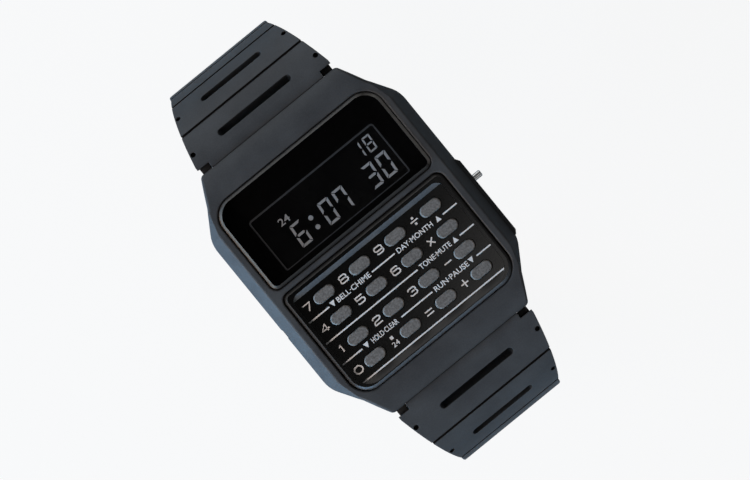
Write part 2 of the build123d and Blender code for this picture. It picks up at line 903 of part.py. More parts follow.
def build_key(x, y):
    """One rubber key: round-ended cap, flange that keeps it in and round foot."""
    foot, flange, flange_top, crown = key_levels()
    cap = prism(Location((x, y, 0)) * SlotOverall(key_length, key_width), height(flange_top), height(crown))
    cap = fillet(cap.faces().sort_by(Axis.Z)[-1].edges(), key_edge_radius)
    rim = SlotOverall(key_length + 2 * key_flange_rim, key_width + 2 * key_flange_rim)
    base = prism(Location((x, y, 0)) * rim, height(flange), height(flange_top))
    return cap + base + cylinder_z(key_foot_radius, x, y, height(foot), height(flange))


def build_key_mat():
    """Rubber mat with a hollow dome under each key, notched where the pushers come in."""
    top = key_levels()[0]
    base = board_bottom + board_thickness
    half = cavity_width / 2 - mat_margin
    sheet_top = top - dome_height
    low, high = cavity_bottom_y + 2 * mat_margin, panel_top_y - 2 * mat_margin
    face = window(half, low, high, window_small_radius, window_small_radius)
    mat = prism(face, height(base), height(sheet_top))
    for x, y in key_places():
        middle = height((sheet_top + top) / 2)
        mat += Location((x, y, middle)) * Cone(dome_base_radius, dome_top_radius, dome_height)
    for x, y in key_places():
        mat -= cylinder_z(dome_hollow_radius, x, y, height(base - cut_over), height(base + dome_hollow_depth))
    return mat - pusher_notches()


# Module
def board_face():
    """Plan of the module: the cavity less a gap."""
    half = cavity_width / 2 - module_gap
    return cut_corners(half, cavity_bottom_y + module_gap, cavity_top_y - module_gap, cavity_corner_cut)


def build_circuit_board():
    """Circuit board, notched where the pushers come in."""
    board = prism(board_face(), height(board_bottom), height(board_bottom + board_thickness))
    return board - pusher_notches()


def pusher_notch(travel, y):
    """Room at the module's right edge for a pusher's end and its clip at full travel."""
    half = cavity_width / 2
    deep = travel + pusher_tail + clip_thickness + module_gap + running_gap + fit_gap
    room = clip_radius + module_gap
    low, high = height(pusher_height - room), height(pusher_height + room)
    return block(half - deep, half + cut_over, y - room, y + room, low, high)


def pusher_notches():
    """Room in the module and the key mat for both pushers."""
    left = mirror(pusher_notch(adjust_travel, adjust_y), about=Plane.YZ)
    return pusher_notch(pusher_travel, pusher_y) + left


def build_module_frame():
    """Plastic frame under the board, with the battery's well and pockets for the tall components."""
    frame = prism(board_face(), height(module_bottom), height(board_bottom))
    low, high = height(0), height(board_bottom + cut_over)
    well = cylinder_z(battery_radius + battery_gap, 0, battery_y, low, high)
    chip = cylinder_z(chip_radius + pocket_gap, chip_x, chip_y, low, high)
    coil = cylinder_z(coil_radius + pocket_gap, coil_x, coil_y, low, high)
    half_can = crystal_can_length / 2 + pocket_gap
    wide = crystal_can_radius + pocket_gap
    x, y = crystal_can_x, crystal_can_y
    can = block(x - half_can, x + half_can, y - wide, y + wide, low, high)
    spring = cylinder_z(buzzer_spring_radius + pocket_gap, 0, buzzer_y - buzzer_radius / 2, low, high)
    return frame - well - chip - coil - can - spring - pusher_notches()


def build_lcd_holder():
    """Frame that holds the display and its connectors on the board."""
    half = cavity_width / 2 - module_gap
    top = cavity_ceiling - lcd_ceiling_gap
    low = panel_top_y - mat_margin + module_gap
    outer = window(half, low, lcd_top_y + holder_wall, mat_margin, mat_margin)
    inner = window(lcd_width / 2 + running_gap, lcd_bottom_y - fit_gap, lcd_top_y + fit_gap, 0, 0)
    base = board_bottom + board_thickness
    return prism(outer - inner, height(base), height(top)) - pusher_notches()


def lcd_levels():
    """Heights of the display's underside, step and top."""
    step = cavity_ceiling - lcd_ceiling_gap
    return step - lcd_glass, step, step + lcd_glass


def build_lcd_panel():
    """Two bonded glasses: the lower one is longer, for its contacts."""
    low, step, top = lcd_levels()
    half = lcd_width / 2
    lower = block(-half, half, lcd_bottom_y, lcd_top_y, height(low), height(step))
    upper = block(-half, half, lcd_bottom_y + lcd_ledge, lcd_top_y - lcd_ledge, height(step), height(top))
    return lower + upper


def build_lcd_connectors():
    """Two striped rubber strips from the board to the display's edges."""
    low = lcd_levels()[0]
    base = board_bottom + board_thickness
    half = connector_length / 2
    thin = connector_width / 2
    strips = []
    for y in (lcd_bottom_y + connector_width, lcd_top_y - connector_width):
        strips.append(block(-half, half, y - thin, y + thin, height(base), height(low)))
    return Compound(children=strips)


def battery_top():
    """Height of the battery's upper face, which carries its rim."""
    return module_bottom + back_plate_thickness + battery_height


def build_battery():
    """Coin cell, its smaller cap upwards."""
    low = height(module_bottom + back_plate_thickness)
    top = height(battery_top())
    can = cylinder_z(battery_radius, 0, battery_y, low, top - battery_rim)
    return can + cylinder_z(battery_radius - battery_step, 0, battery_y, top - battery_rim, top)


def build_battery_clip():
    """Leaf that springs from the board's underside onto the cell."""
    half = battery_clip_length / 2
    wide = battery_clip_width / 2
    top = height(board_bottom)
    base = block(-half, half, battery_y - wide, battery_y + wide, top - spring_leaf, top)
    low = height(battery_top())
    sides = [
        (-half, top), (-half + spring_leaf, top), (-half / 2, low + spring_leaf), (half / 2, low + spring_leaf),
        (half / 2, low), (-half / 2 - spring_leaf, low), (-half, top - spring_leaf),
    ]
    front_plane = Plane(origin=(0, battery_y, 0), x_dir=(1, 0, 0), z_dir=(0, -1, 0))
    leaf = extrude(front_plane * make_face(Polyline(*sides, close=True)), amount=wide / 2, both=True)
    return base + leaf


def build_module_back_plate():
    """Thin steel plate that keeps the battery in the frame."""
    half = cavity_width / 2 - module_gap
    low = height(module_bottom)
    plate_top_y = battery_y + battery_radius + module_gap
    face = cut_corners(half, cavity_bottom_y + module_gap, plate_top_y, cavity_corner_cut / 2)
    return prism(face & board_face(), low - back_plate_thickness, low)


def build_case_back():
    """Flat steel back with four countersunk corners."""
    half = case_back_width / 2
    face = window(half, -case_back_length / 2, case_back_length / 2, case_back_corner, case_back_corner)
    plate = prism(face, height(0), height(case_back_thickness))
    plate = chamfer(plate.faces().sort_by(Axis.Z)[0].edges(), case_back_edge)
    top = height(case_back_thickness + cut_over)
    hole = cylinder_z(screw_radius + fit_gap, screw_x, screw_y, height(0), top)
    seat = height(screw_head_height + running_gap)
    head = cylinder_z(screw_head_radius + fit_gap, screw_x, screw_y, height(-cut_over), seat)
    return plate - both_ends(both_sides(hole + head))


def build_case_back_screws():
    """Four slotted screws."""
    low = running_gap
    head = cylinder_z(screw_head_radius, screw_x, screw_y, height(low), height(low + screw_head_height))
    shank = cylinder_z(screw_radius, screw_x, screw_y, height(low + screw_head_height), height(screw_length))
    long, thin, deep = screw_head_radius, screw_slot / 2, height(low + screw_slot_depth)
    slot = block(screw_x - long, screw_x + long, screw_y - thin, screw_y + thin, height(low), deep)
    screw = head + shank - slot
    right = [screw, mirror(screw, about=Plane.XZ)]
    return Compound(children=right + [mirror(piece, about=Plane.YZ) for piece in right])


def build_quartz_crystal():
    """Quartz crystal in a round can, lying under the board."""
    z = height(board_bottom - crystal_can_radius)
    half = crystal_can_length / 2
    return cylinder_x(crystal_can_radius, crystal_can_x - half, crystal_can_x + half, crystal_can_y, z)


def build_chip():
    """Sealed chip: a shallow dome under the board."""
    sphere_radius = (chip_radius * chip_radius + chip_height * chip_height) / (2 * chip_height)
    low = height(board_bottom - chip_height)
    ball = Location((chip_x, chip_y, low + sphere_radius)) * Sphere(sphere_radius)
    return ball & cylinder_z(chip_radius, chip_x, chip_y, low, height(board_bottom))


def build_coil():
    """Voltage coil for the buzzer: a waisted bobbin with its winding."""
    low = board_bottom - coil_height
    flange = coil_height / 5
    winding = cylinder_z(coil_radius - flange / 2, coil_x, coil_y, height(low), height(board_bottom))
    lower = cylinder_z(coil_radius, coil_x, coil_y, height(low), height(low + flange))
    upper = cylinder_z(coil_radius, coil_x, coil_y, height(board_bottom - flange), height(board_bottom))
    return winding + lower + upper


def build_buzzer_disc():
    """Thin sounding disc on the inside of the case back."""
    low = height(case_back_thickness)
    disc = cylinder_z(buzzer_radius, 0, buzzer_y, low, low + buzzer_thickness / 2)
    return disc + cylinder_z(buzzer_radius * 2 / 3, 0, buzzer_y, low, low + buzzer_thickness)


def build_buzzer_spring():
    """Contact spring from the board to the buzzer disc, drawn as its outer sleeve."""
    y = buzzer_y - buzzer_radius / 2
    low = height(case_back_thickness + buzzer_thickness)
    sleeve = cylinder_z(buzzer_spring_radius, 0, y, low, height(board_bottom))
    return sleeve - cylinder_z(buzzer_spring_radius - pusher_spring_wall, 0, y, low, height(board_bottom))


# Pushers
def build_pusher(walls, head_radius, head_out, head_in, y, ribbed):
    """Steel pusher on the right: ribbed head, shaft and grooved end."""
    out, shoulder, inside = walls
    z = height(pusher_height)
    head = cylinder_x(head_radius, out - head_in, out + head_out, y, z)
    crown = [face for face in head.faces() if abs(face.center().X - (out + head_out)) < running_gap]
    head = chamfer(crown[0].edges(), head_radius / 4)
    if ribbed:
        for index in range(pusher_rib_count):
            angle = 2 * pi * index / pusher_rib_count
            rib_y = y + head_radius * cos(angle)
            rib_z = z + head_radius * sin(angle)
            head -= cylinder_x(pusher_rib_depth, out + running_gap, out + head_out + cut_over, rib_y, rib_z)
    clip_start, clip_end = clip_span(inside)
    shaft = cylinder_x(pusher_shaft_radius, clip_start - pusher_tail, out - head_in, y, z)
    groove = cylinder_x(pusher_shaft_radius, clip_start, clip_end, y, z)
    groove -= cylinder_x(pusher_shaft_radius / 2, clip_start, clip_end, y, z)
    return head + shaft - groove


def clip_span(inside):
    """Places along X of the clip's two faces, just inside the wall."""
    end = inside - running_gap
    return end - clip_thickness, end


def build_pusher_clip(walls, y):
    """Clip in the groove, which stops the pusher inside the wall."""
    start, end = clip_span(walls[2])
    z = height(pusher_height)
    inner = pusher_shaft_radius / 2
    ring = cylinder_x(clip_radius, start, end, y, z) - cylinder_x(inner, start, end, y, z)
    return ring - block(start, end, y - inner, y + inner, z, z + clip_radius + cut_over)


def build_pusher_spring(walls, head_in, head_radius, y):
    """Return spring round the shaft, drawn as its outer sleeve."""
    out, shoulder, inside = walls
    z = height(pusher_height)
    outer = cylinder_x(head_radius - running_gap, shoulder, out - head_in, y, z)
    return outer - cylinder_x(head_radius - running_gap - pusher_spring_wall, shoulder, out, y, z)


def build_pusher_seal(walls, y):
    """Rubber ring round the shaft."""
    shoulder = walls[1]
    z = height(pusher_height)
    ring = cylinder_x(seal_outer_radius, shoulder - seal_width, shoulder, y, z)
    return ring - cylinder_x(pusher_shaft_radius, shoulder - 2 * seal_width, shoulder + seal_width, y, z)


# Spring bars
def build_bar_tube(half, y, z):
    """Tube of a spring bar."""
    tube = cylinder_x(bar_radius, -half, half, y, z)
    return tube - cylinder_x(bar_radius - bar_wall, -half - cut_over, half + cut_over, y, z)


def build_bar_tips(half, reach, y, z):
    """Two sprung tips: a piston in the tube, a flange outside it and a pin in the lug."""
    piston_radius = bar_radius - bar_wall - piston_gap
    tips = []
    for sign in (1, -1):
        inner, edge, end = sign * (half - piston_length), sign * half, sign * (half + reach)
        flange = sign * (half + tip_flange_width)
        piston = cylinder_x(piston_radius, min(inner, edge), max(inner, edge), y, z)
        collar = cylinder_x(tip_flange_radius, min(edge, flange), max(edge, flange), y, z)
        pin = cylinder_x(tip_radius, min(edge, end), max(edge, end), y, z)
        tips.append(piston + collar + pin)
    return Compound(children=tips)


def build_bar_spring(half, y, z):
    """Spring inside the tube, drawn as its outer sleeve."""
    span = half - piston_length
    radius = bar_radius - bar_wall - piston_gap
    outer = cylinder_x(radius, -span, span, y, z)
    return outer - cylinder_x(radius - bar_spring_wall, -span - cut_over, span + cut_over, y, z)


# Strap halves
def build_strap_hole_half():
    """Long half: slots and grooves near the case, adjusting holes, rounded flat tail."""
    body = strap_body(long_path)
    body = fillet(body.edges().filter_by(Axis.Z).group_by(Axis.Y)[0], tip_corner_radius)
    body = soften_sides(body)
    body -= bar_bore(pivot_y, pivot_z)
    total = path_length(long_path)
    first_hole = total - hole_from_tip - (hole_count - 1) * hole_pitch
    for cut in ladder_cuts(long_path, lower_slot_first, lower_pitch, first_hole - holes_clear):
        body -= cut
    for index in range(hole_count):
        distance = first_hole + index * hole_pitch
        body -= slot_cut(long_path, distance, hole_length, hole_width, cut_over, -strap_thickness - cut_over)
    return mirror(body, about=Plane.XZ)


def buckle_frame_plane():
    """Frame at the buckle bar: X across, Y along the strap and Z out of its outer face."""
    total = path_length(curl_path)
    y, z, turn = trace(curl_path, total)
    along = Vector(0, cos(turn), -sin(turn))
    outward = Vector(0, sin(turn), cos(turn))
    spot = Vector(0, y, z) + along * end_barrel_reach - outward * (strap_thickness / 2)
    return Plane(origin=spot, x_dir=(1, 0, 0), z_dir=outward)


def build_strap_buckle_half():
    """Short half: slots and grooves, with a round slotted end on the buckle bar."""
    body = soften_sides(strap_body(curl_path))
    frame = buckle_frame_plane()
    bar_y, bar_z = frame.origin.Y, frame.origin.Z
    half = strap_width / 2
    body += cylinder_x(end_barrel_radius, -half, half, bar_y, bar_z)
    body -= bar_bore(pivot_y, pivot_z)
    body -= bar_bore(bar_y, bar_z)
    wide = tang_width / 2 + tang_slot_gap
    deep = bar_radius + bar_clearance + tang_ring + tang_slot_gap
    clear = 2 * end_barrel_radius
    body -= frame * block(-wide, wide, -deep, clear, -clear, clear)
    last = path_length(curl_path) - keeper_length
    for cut in ladder_cuts(curl_path, upper_slot_first, upper_pitch, last):
        body -= cut
    return body


def build_buckle_frame():
    """Open frame: two arms on the bar and a front rail, notched for the tang."""
    frame = buckle_frame_plane()
    inner = strap_width / 2 + buckle_gap
    outer = inner + buckle_arm
    low = -buckle_tip_margin
    front = buckle_length - buckle_front
    outer_face = window(outer, low, buckle_length, buckle_corner / 2, buckle_corner)
    inner_face = window(inner, low - cut_over, front, buckle_corner / 4, buckle_corner / 2)
    rest = tang_rest_level()
    solid = prism(outer_face - inner_face, -buckle_thickness / 2, buckle_thickness / 2)
    edges = solid.edges().filter_by(Plane.XY).group_by(Axis.Z)
    solid = fillet(edges[-1] + edges[0], buckle_arm / 6)
    wide = tang_width / 2 + tang_slot_gap
    notch = block(-wide, wide, 0, buckle_length + cut_over, rest - tang_rest_gap, buckle_thickness)
    hole = cylinder_x(tip_radius + tip_hole_gap, -outer - cut_over, outer + cut_over, 0, 0)
    blind = inner + tip_reach
    hole = hole & block(-blind, blind, -outer, outer, -outer, outer)
    return frame * (solid - notch - hole)


def tang_rest_level():
    """Height of the tang's underside above the bar's middle."""
    return buckle_thickness / 2 - tang_thickness / 2


def build_buckle_tang():
    """Tang: an eye round the bar and a flat finger that rests on the front rail."""
    frame = buckle_frame_plane()
    half = tang_width / 2
    bore = bar_radius + bar_clearance
    eye = cylinder_x(bore + tang_ring, -half, half, 0, 0)
    low = tang_rest_level()
    finger = block(-half, half, 0, buckle_length + tang_overhang, low, low + tang_thickness)
    tip = finger.edges().filter_by(Axis.Z).group_by(Axis.Y)[-1]
    finger = fillet(tip, half * 2 / 3)
    return frame * (eye + finger - cylinder_x(bore, -tang_width, tang_width, 0, 0))


def build_keeper():
    """Loop round the short half, with room outside it for the free end."""
    inner_x = strap_width / 2 + keeper_gap
    inner_low = curl_bend - strap_thickness - keeper_gap
    inner_high = curl_bend + strap_thickness + 2 * keeper_gap
    ring = Rectangle(2 * (inner_x + keeper_wall), inner_high - inner_low + 2 * keeper_wall)
    ring = fillet(ring.vertices(), keeper_wall)
    ring -= Rectangle(2 * inner_x, inner_high - inner_low)
    angle = keeper_length / curl_bend
    spread = keeper_length / curl_bend * 180 / pi
    turn = keeper_angle - 90 - spread / 2
    middle = (inner_high + inner_low) / 2
    section = Plane(origin=(0, middle, 0), x_dir=(1, 0, 0), z_dir=(0, 0, 1)) * ring
    loop = revolve(section, Axis((0, 0, 0), (-1, 0, 0)), revolution_arc=spread)
    return Location((0, curl_centre_y, curl_centre_z), (0, 0, 0)) * Rot(-turn, 0, 0) * loop


def build_all():
    """Builds every piece and writes it."""
    save("case_shell", build_case_shell())
    save("display_window", build_display_window())
    save("display_mask", build_display_mask())
    save("keypad_panel", build_keypad_panel())
    key_names = [
        "key_7", "key_8", "key_9", "key_divide", "key_4", "key_5", "key_6", "key_times",
        "key_1", "key_2", "key_3", "key_minus", "key_0", "key_point", "key_equals", "key_plus",
    ]
    for name, (x, y) in zip(key_names, key_places()):
        save(name, build_key(x, y))
    save("key_mat", build_key_mat())
    save("circuit_board", build_circuit_board())
    save("module_frame", build_module_frame())
    save("lcd_holder", build_lcd_holder())
    save("lcd_panel", build_lcd_panel())
    save("lcd_connectors", build_lcd_connectors())
    save("battery", build_battery())
    save("battery_clip", build_battery_clip())
    save("module_back_plate", build_module_back_plate())
    save("case_back", build_case_back())
    save("case_back_screws", build_case_back_screws())
    save("case_gasket", gasket_ring(gasket_width + gasket_inset, gasket_inset, 0, gasket_height))
    save("quartz_crystal", build_quartz_crystal())
    save("sealed_chip", build_chip())
    save("buzzer_coil", build_coil())
    save("buzzer_disc", build_buzzer_disc())
    save("buzzer_spring", build_buzzer_spring())
    right = pusher_wall()
    left = adjust_wall()
    mode = build_pusher(right, pusher_head_radius, pusher_head_out, pusher_head_in, pusher_y, True)
    save("mode_pusher", mode)
    save("mode_pusher_clip", build_pusher_clip(right, pusher_y))
    save("mode_pusher_spring", build_pusher_spring(right, pusher_head_in, pusher_head_radius, pusher_y))
    save("mode_pusher_seal", build_pusher_seal(right, pusher_y))
    adjust = build_pusher(left, adjust_head_radius, adjust_head_out, adjust_head_in, adjust_y, False)
    save("adjust_pusher", mirror(adjust, about=Plane.YZ))
    save("adjust_pusher_clip", mirror(build_pusher_clip(left, adjust_y), about=Plane.YZ))
    spring = build_pusher_spring(left, adjust_head_in, adjust_head_radius, adjust_y)
    save("adjust_pusher_spring", mirror(spring, about=Plane.YZ))
    save("adjust_pusher_seal", mirror(build_pusher_seal(left, adjust_y), about=Plane.YZ))
    lug_half = tongue_width / 2 - tongue_gap - tip_flange_width
    lug_reach = tongue_gap + tip_flange_width + tongue_gap + tip_reach
    buckle = buckle_frame_plane().origin
    buckle_half = strap_width / 2 - tip_flange_width
    buckle_reach = tip_flange_width + buckle_gap + tip_reach - tip_hole_gap
    bars = [
        ("upper_spring_bar", lug_half, lug_reach, pivot_y, pivot_z),
        ("lower_spring_bar", lug_half, lug_reach, -pivot_y, pivot_z),
        ("buckle_bar", buckle_half, buckle_reach, buckle.Y, buckle.Z),
    ]
    for name, half, reach, y, z in bars:
        save(name + "_tube", build_bar_tube(half, y, z))
        save(name + "_tips", build_bar_tips(half, reach, y, z))
        save(name + "_spring", build_bar_spring(half, y, z))
    save("strap_hole_half", build_strap_hole_half())
    save("strap_buckle_half", build_strap_buckle_half())
    save("buckle_frame", build_buckle_frame())
    save("buckle_tang", build_buckle_tang())
    save("strap_keeper", build_keeper())


build_all()
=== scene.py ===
import math
import bmesh
import bpy
from mathutils import Matrix, Vector


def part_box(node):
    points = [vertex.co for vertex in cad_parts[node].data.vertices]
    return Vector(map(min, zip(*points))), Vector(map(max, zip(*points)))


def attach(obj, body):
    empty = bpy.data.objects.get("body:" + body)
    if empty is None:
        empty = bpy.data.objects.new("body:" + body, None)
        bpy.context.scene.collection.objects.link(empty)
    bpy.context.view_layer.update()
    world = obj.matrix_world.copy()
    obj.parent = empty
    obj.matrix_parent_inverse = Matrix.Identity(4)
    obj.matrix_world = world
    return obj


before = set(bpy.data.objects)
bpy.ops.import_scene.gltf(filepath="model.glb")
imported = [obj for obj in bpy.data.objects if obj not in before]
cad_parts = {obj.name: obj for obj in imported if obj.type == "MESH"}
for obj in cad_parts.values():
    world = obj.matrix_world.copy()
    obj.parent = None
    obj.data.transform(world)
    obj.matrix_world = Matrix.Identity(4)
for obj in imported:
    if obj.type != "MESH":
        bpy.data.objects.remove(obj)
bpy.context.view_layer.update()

# Calculator watch, seen straight down on its face. Lengths are metres; MM turns a millimetre into them.
MM = 0.001


def box_of(name):
    """Lowest and highest corner of a node."""
    return [Vector(corner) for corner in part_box(name)]


def middle_of(name):
    """Middle of a node's box."""
    low, high = box_of(name)
    return (low + high) / 2


# Places taken from the frame
case_middle = middle_of("case_shell")
case_top = box_of("case_shell")[1].z
crystal_low, crystal_high = box_of("display_window")
mask_low, mask_high = box_of("display_mask")
panel_top = box_of("keypad_panel")[1].z
display_top = box_of("lcd_panel")[1].z
first_key = middle_of("key_7")
last_key = middle_of("key_plus")

# Photograph: the watch lies turned in the picture, seen from straight above
image_width = 750
image_height = 480
pixels_per_mm = 7.1
watch_turn = math.radians(39.2)
case_pixel_x = 364.5
case_pixel_y = 240.2
camera_distance = 400 * MM
nearest_seen = 10 * MM
sensor_width = 36.0

# Print: a film of ink, lifted a hair off what carries it
print_thickness = 0.02 * MM
print_lift = 0.004 * MM
letter_weight = 0.014
letter_depth = 0.01
letter_smoothness = 4
arc_steps = 6

# Keypad: the sunk field, the signs beside the keys and the lines between the rows
field_depth = 0.6 * MM
field_level = panel_top - field_depth + print_lift
rows = ["789÷", "456×", "123-", "0.=+"]
key_pitch_x = (last_key.x - first_key.x) / (len(rows[0]) - 1)
key_pitch_y = (first_key.y - last_key.y) / (len(rows) - 1)
label_offset = 2.98 * MM
label_height = 1.25 * MM
label_width = 1.42 * MM
stroke_half = 0.1 * MM
sharpest_mitre = 1.5
sign_reach = 0.62 * MM
times_reach = 0.66 * MM
dot_half = 0.17 * MM
dot_lift = 0.48 * MM
equals_lift = 0.27 * MM
point_half = 0.24 * MM
point_lift = 0.55 * MM
hours_text = "24"
hours_drop = 0.42 * MM
hours_height = 0.75 * MM
hours_width = 1.1 * MM
word_height = 0.8 * MM
arrow_half = 0.42 * MM
line_half = 0.105 * MM
line_a = -4.15 * MM
line_b = -7.96 * MM
line_c = -11.69 * MM
line_d = -15.49 * MM

# Pixels along X of the photograph turned upright: the case's middle, and the ends of lines, words and arrows
middle_pixel = -3
lines_start = -99.5
stub_start = 74
stub_end = 92
left_arrow = -67.5
right_arrow = 67.5
line_spans = [
    (line_a, lines_start, -72.5), (line_a, -17.5, 12), (line_a, stub_start, stub_end),
    (line_b, lines_start, 19.5), (line_b, stub_start, stub_end),
    (line_c, lines_start, -73.5), (line_c, -23, 17), (line_c, stub_start, stub_end),
    (line_d, -95, 87.5),
]
word_spans = [
    (line_a, "BELL·CHIME", -62.5, -20), (line_a, "DAY·MONTH", 15, 60),
    (line_b, "TONE·MUTE", 22.5, 62),
    (line_c, "HOLD·CLEAR", -61, -28), (line_c, "RUN·PAUSE", 20, 63),
]
down = -1
up = 1
arrow_places = [
    (line_a, left_arrow, down), (line_a, right_arrow, up), (line_b, right_arrow, up),
    (line_c, left_arrow, down), (line_c, right_arrow, down),
]

# Display: the figures' left edges in the same pixels, and their sizes
time_figures = [("6", -55.5), ("0", -20), ("7", -1.5), ("3", 36.5), ("0", 54.5)]
day_figures = [("1", 43.5), ("8", 57)]
hours_pixel = -53
display_level = display_top + print_lift
figure_lean = math.tan(math.radians(4.5))
time_bottom = 4.6 * MM
time_size = (1.85 * MM, 3.6 * MM, 0.37 * MM)
day_bottom = 9.0 * MM
day_size = (1.3 * MM, 2.4 * MM, 0.25 * MM)
hours_mark_y = 9.4 * MM
hours_mark_height = 1.1 * MM
hours_mark_width = 1.75 * MM
colon_x = -3.9 * MM
colon_heights = (5.65 * MM, 7.25 * MM)
colon_radius = 0.36 * MM
colon_corners = 20
segment_gap_share = 0.22
upright_taper = 0.9

# Printed line round the display, and the black print between the mask and the crystal's edge
border_level = mask_low.z + print_lift
surround_level = crystal_low.z + print_lift
border_half = 11.34 * MM
border_bottom = 3.38 * MM
border_top = 12.3 * MM
border_radius = 0.6 * MM
border_line = 0.28 * MM
surround_inset = 0.12 * MM
surround_lap = 0.3 * MM
surround_radius = 1.6 * MM

# Light and background: white all round, dim even light, and a dark ceiling and darker right for gloss faces
floor_half = 3.0
floor_white_share = 0.9
even_light = 0.02
ceiling_start = 0.8
walls_end = 0.4
right_start = -0.2
right_end = 0.5
right_share = 0.35
lamps = [
    ("low_sky_lamp", (-0.75, -0.05, 0.18), (0.90, 0.24), 12.0, "#8ed2ff", False),
    ("left_lamp", (-0.60, -0.05, 0.45), (0.80, 0.35), 4.2, "#fff0e8", True),
    ("over_lamp", (0.10, -0.145, 0.95), (0.25, 0.25), 0.24, "#f4f2f0", True),
    ("far_strip", (0.0, 0.60, 0.14), (0.60, 0.12), 0.5, "#fffdfa", True),
]

# Sockets of the colour Mix node, which go by number because its names repeat
mix_share, mix_first, mix_second, mix_result = 0, 6, 7, 2


# Materials
grain_share = 0.4
rough_spread = 0.08
# Painted shade in slots and grooves: the ambient occlusion between these two values is mapped toward near black
crevice_shade_start = 0.58
crevice_shade_end = 0.93
line_smoother = 0.06
line_rougher = 0.08
wear_share = 0.03


def linear(hex_colour):
    """Linear colour of an sRGB hex value."""
    values = [int(hex_colour[i:i + 2], 16) / 255 for i in (1, 3, 5)]
    return [v / 12.92 if v <= 0.04045 else ((v + 0.055) / 1.055) ** 2.4 for v in values] + [1.0]


def add_node(tree, kind, settings=None, values=None, links=None, stops=None):
    """Adds a node with its settings, values, links and colour stops, and gives its outputs."""
    node = tree.nodes.new(kind)
    for name, value in (settings or {}).items():
        setattr(node, name, value)
    for name, value in (values or {}).items():
        node.inputs[name].default_value = value
    for name, socket in (links or {}).items():
        tree.links.new(socket, node.inputs[name])
    for index, (place, colour) in enumerate(stops or []):
        element = node.color_ramp.elements[index]
        element.position, element.color = place, linear(colour)
    return node.outputs


def start_material(name):
    """Empty node material, with the coordinates that its patterns read."""
    material = bpy.data.materials.new(name)
    material.use_nodes = True
    tree = material.node_tree
    tree.nodes.clear()
    return material, tree, add_node(tree, "ShaderNodeTexCoord")


def finish_material(tree, values, links):
    """Principled shader with its plain values and its linked patterns, and the material's output."""
    shader = add_node(tree, "ShaderNodeBsdfPrincipled", values=values, links=links)
    add_node(tree, "ShaderNodeOutputMaterial", links={"Surface": shader["BSDF"]})


def moulded(
    name, dark, light, grain_mm, bump, roughness, patch_mm=6.0, round_mm=0, crevice_shade_mm=0, specular=0.5
):
    """Moulded plastic or rubber: slow patches of tone, and the fine grain that the mould's spark finish leaves.

    With round_mm its edges take light as if softly rounded. With crevice_shade_mm its slots and grooves get
    painted shade.
    """
    material, tree, coordinates = start_material(name)
    place = {"Vector": coordinates["Object"]}
    patch_scale = {"Scale": 1 / (patch_mm * MM), "Detail": 3.0}
    patches = add_node(tree, "ShaderNodeTexNoise", values=patch_scale, links=place)["Fac"]
    grain_scale = {"Scale": 1 / (grain_mm * MM), "Detail": 2.0}
    grain = add_node(tree, "ShaderNodeTexNoise", values=grain_scale, links=place)["Fac"]
    mixed = add_node(
        tree, "ShaderNodeMath", {"operation": "MULTIPLY_ADD"}, {1: grain_share}, {0: grain, 2: patches}
    )["Value"]
    tones = [(0.5, dark), (0.95, light)]
    tone = add_node(tree, "ShaderNodeValToRGB", links={"Fac": mixed}, stops=tones)["Color"]
    # Painted shade: ambient occlusion darkens slots, grooves and notches toward near black
    if crevice_shade_mm:
        reach = {"Distance": crevice_shade_mm * MM}
        openness = add_node(tree, "ShaderNodeAmbientOcclusion", {"samples": 6}, reach)["AO"]
        span = {"From Min": crevice_shade_start, "From Max": crevice_shade_end}
        openness = add_node(tree, "ShaderNodeMapRange", values=span, links={"Value": openness})["Result"]
        tone = add_node(
            tree, "ShaderNodeMix", {"data_type": "RGBA"}, {mix_first: linear("#040405")},
            {mix_share: openness, mix_second: tone},
        )[mix_result]
    span = {"To Min": roughness - rough_spread, "To Max": roughness + rough_spread}
    rough = add_node(tree, "ShaderNodeMapRange", values=span, links={"Value": patches})["Result"]
    relief_links = {"Height": grain}
    if round_mm:
        edge = add_node(tree, "ShaderNodeBevel", {"samples": 4}, {"Radius": round_mm * MM})
        relief_links["Normal"] = edge["Normal"]
    relief_depth = {"Strength": bump, "Distance": grain_mm * MM / 6}
    relief = add_node(tree, "ShaderNodeBump", values=relief_depth, links=relief_links)["Normal"]
    finish_material(
        tree, {"Specular IOR Level": specular}, {"Base Color": tone, "Roughness": rough, "Normal": relief}
    )
    return material


def metal(name, dark, light, stretch, roughness, line_mm=0.06):
    """Metal with fine lines, as brushing, turning, drawing or rolling leaves them.

    line_mm is the grain along the lines, and stretch says how many times finer it is on each axis. Most are too
    fine to show and only give an even sheen.
    """
    material, tree, coordinates = start_material(name)
    turned = add_node(
        tree, "ShaderNodeMapping", values={"Scale": stretch}, links={"Vector": coordinates["Object"]}
    )["Vector"]
    line_scale = {"Scale": 1 / (line_mm * MM), "Detail": 3.0}
    lines = add_node(tree, "ShaderNodeTexNoise", values=line_scale, links={"Vector": turned})["Fac"]
    tones = [(0.3, dark), (0.7, light)]
    tone = add_node(tree, "ShaderNodeValToRGB", links={"Fac": lines}, stops=tones)["Color"]
    span = {"To Min": roughness - line_smoother, "To Max": roughness + line_rougher}
    rough = add_node(tree, "ShaderNodeMapRange", values=span, links={"Value": lines})["Result"]
    relief_depth = {"Strength": 0.15, "Distance": 0.01 * MM}
    relief = add_node(tree, "ShaderNodeBump", values=relief_depth, links={"Height": lines})["Normal"]
    finish_material(tree, {"Metallic": 1.0}, {"Base Color": tone, "Roughness": rough, "Normal": relief})
    return material


def level_share(tree, low, high):
    """1 on level faces, seen from either side, falling to 0 on steep ones."""
    normal = add_node(tree, "ShaderNodeNewGeometry")["Normal"]
    upright = add_node(tree, "ShaderNodeSeparateXYZ", links={"Vector": normal})["Z"]
    level = add_node(tree, "ShaderNodeMath", {"operation": "ABSOLUTE"}, links={"Value": upright})["Value"]
    span = {"From Min": low, "From Max": high}
    return add_node(tree, "ShaderNodeMapRange", values=span, links={"Value": level})["Result"]


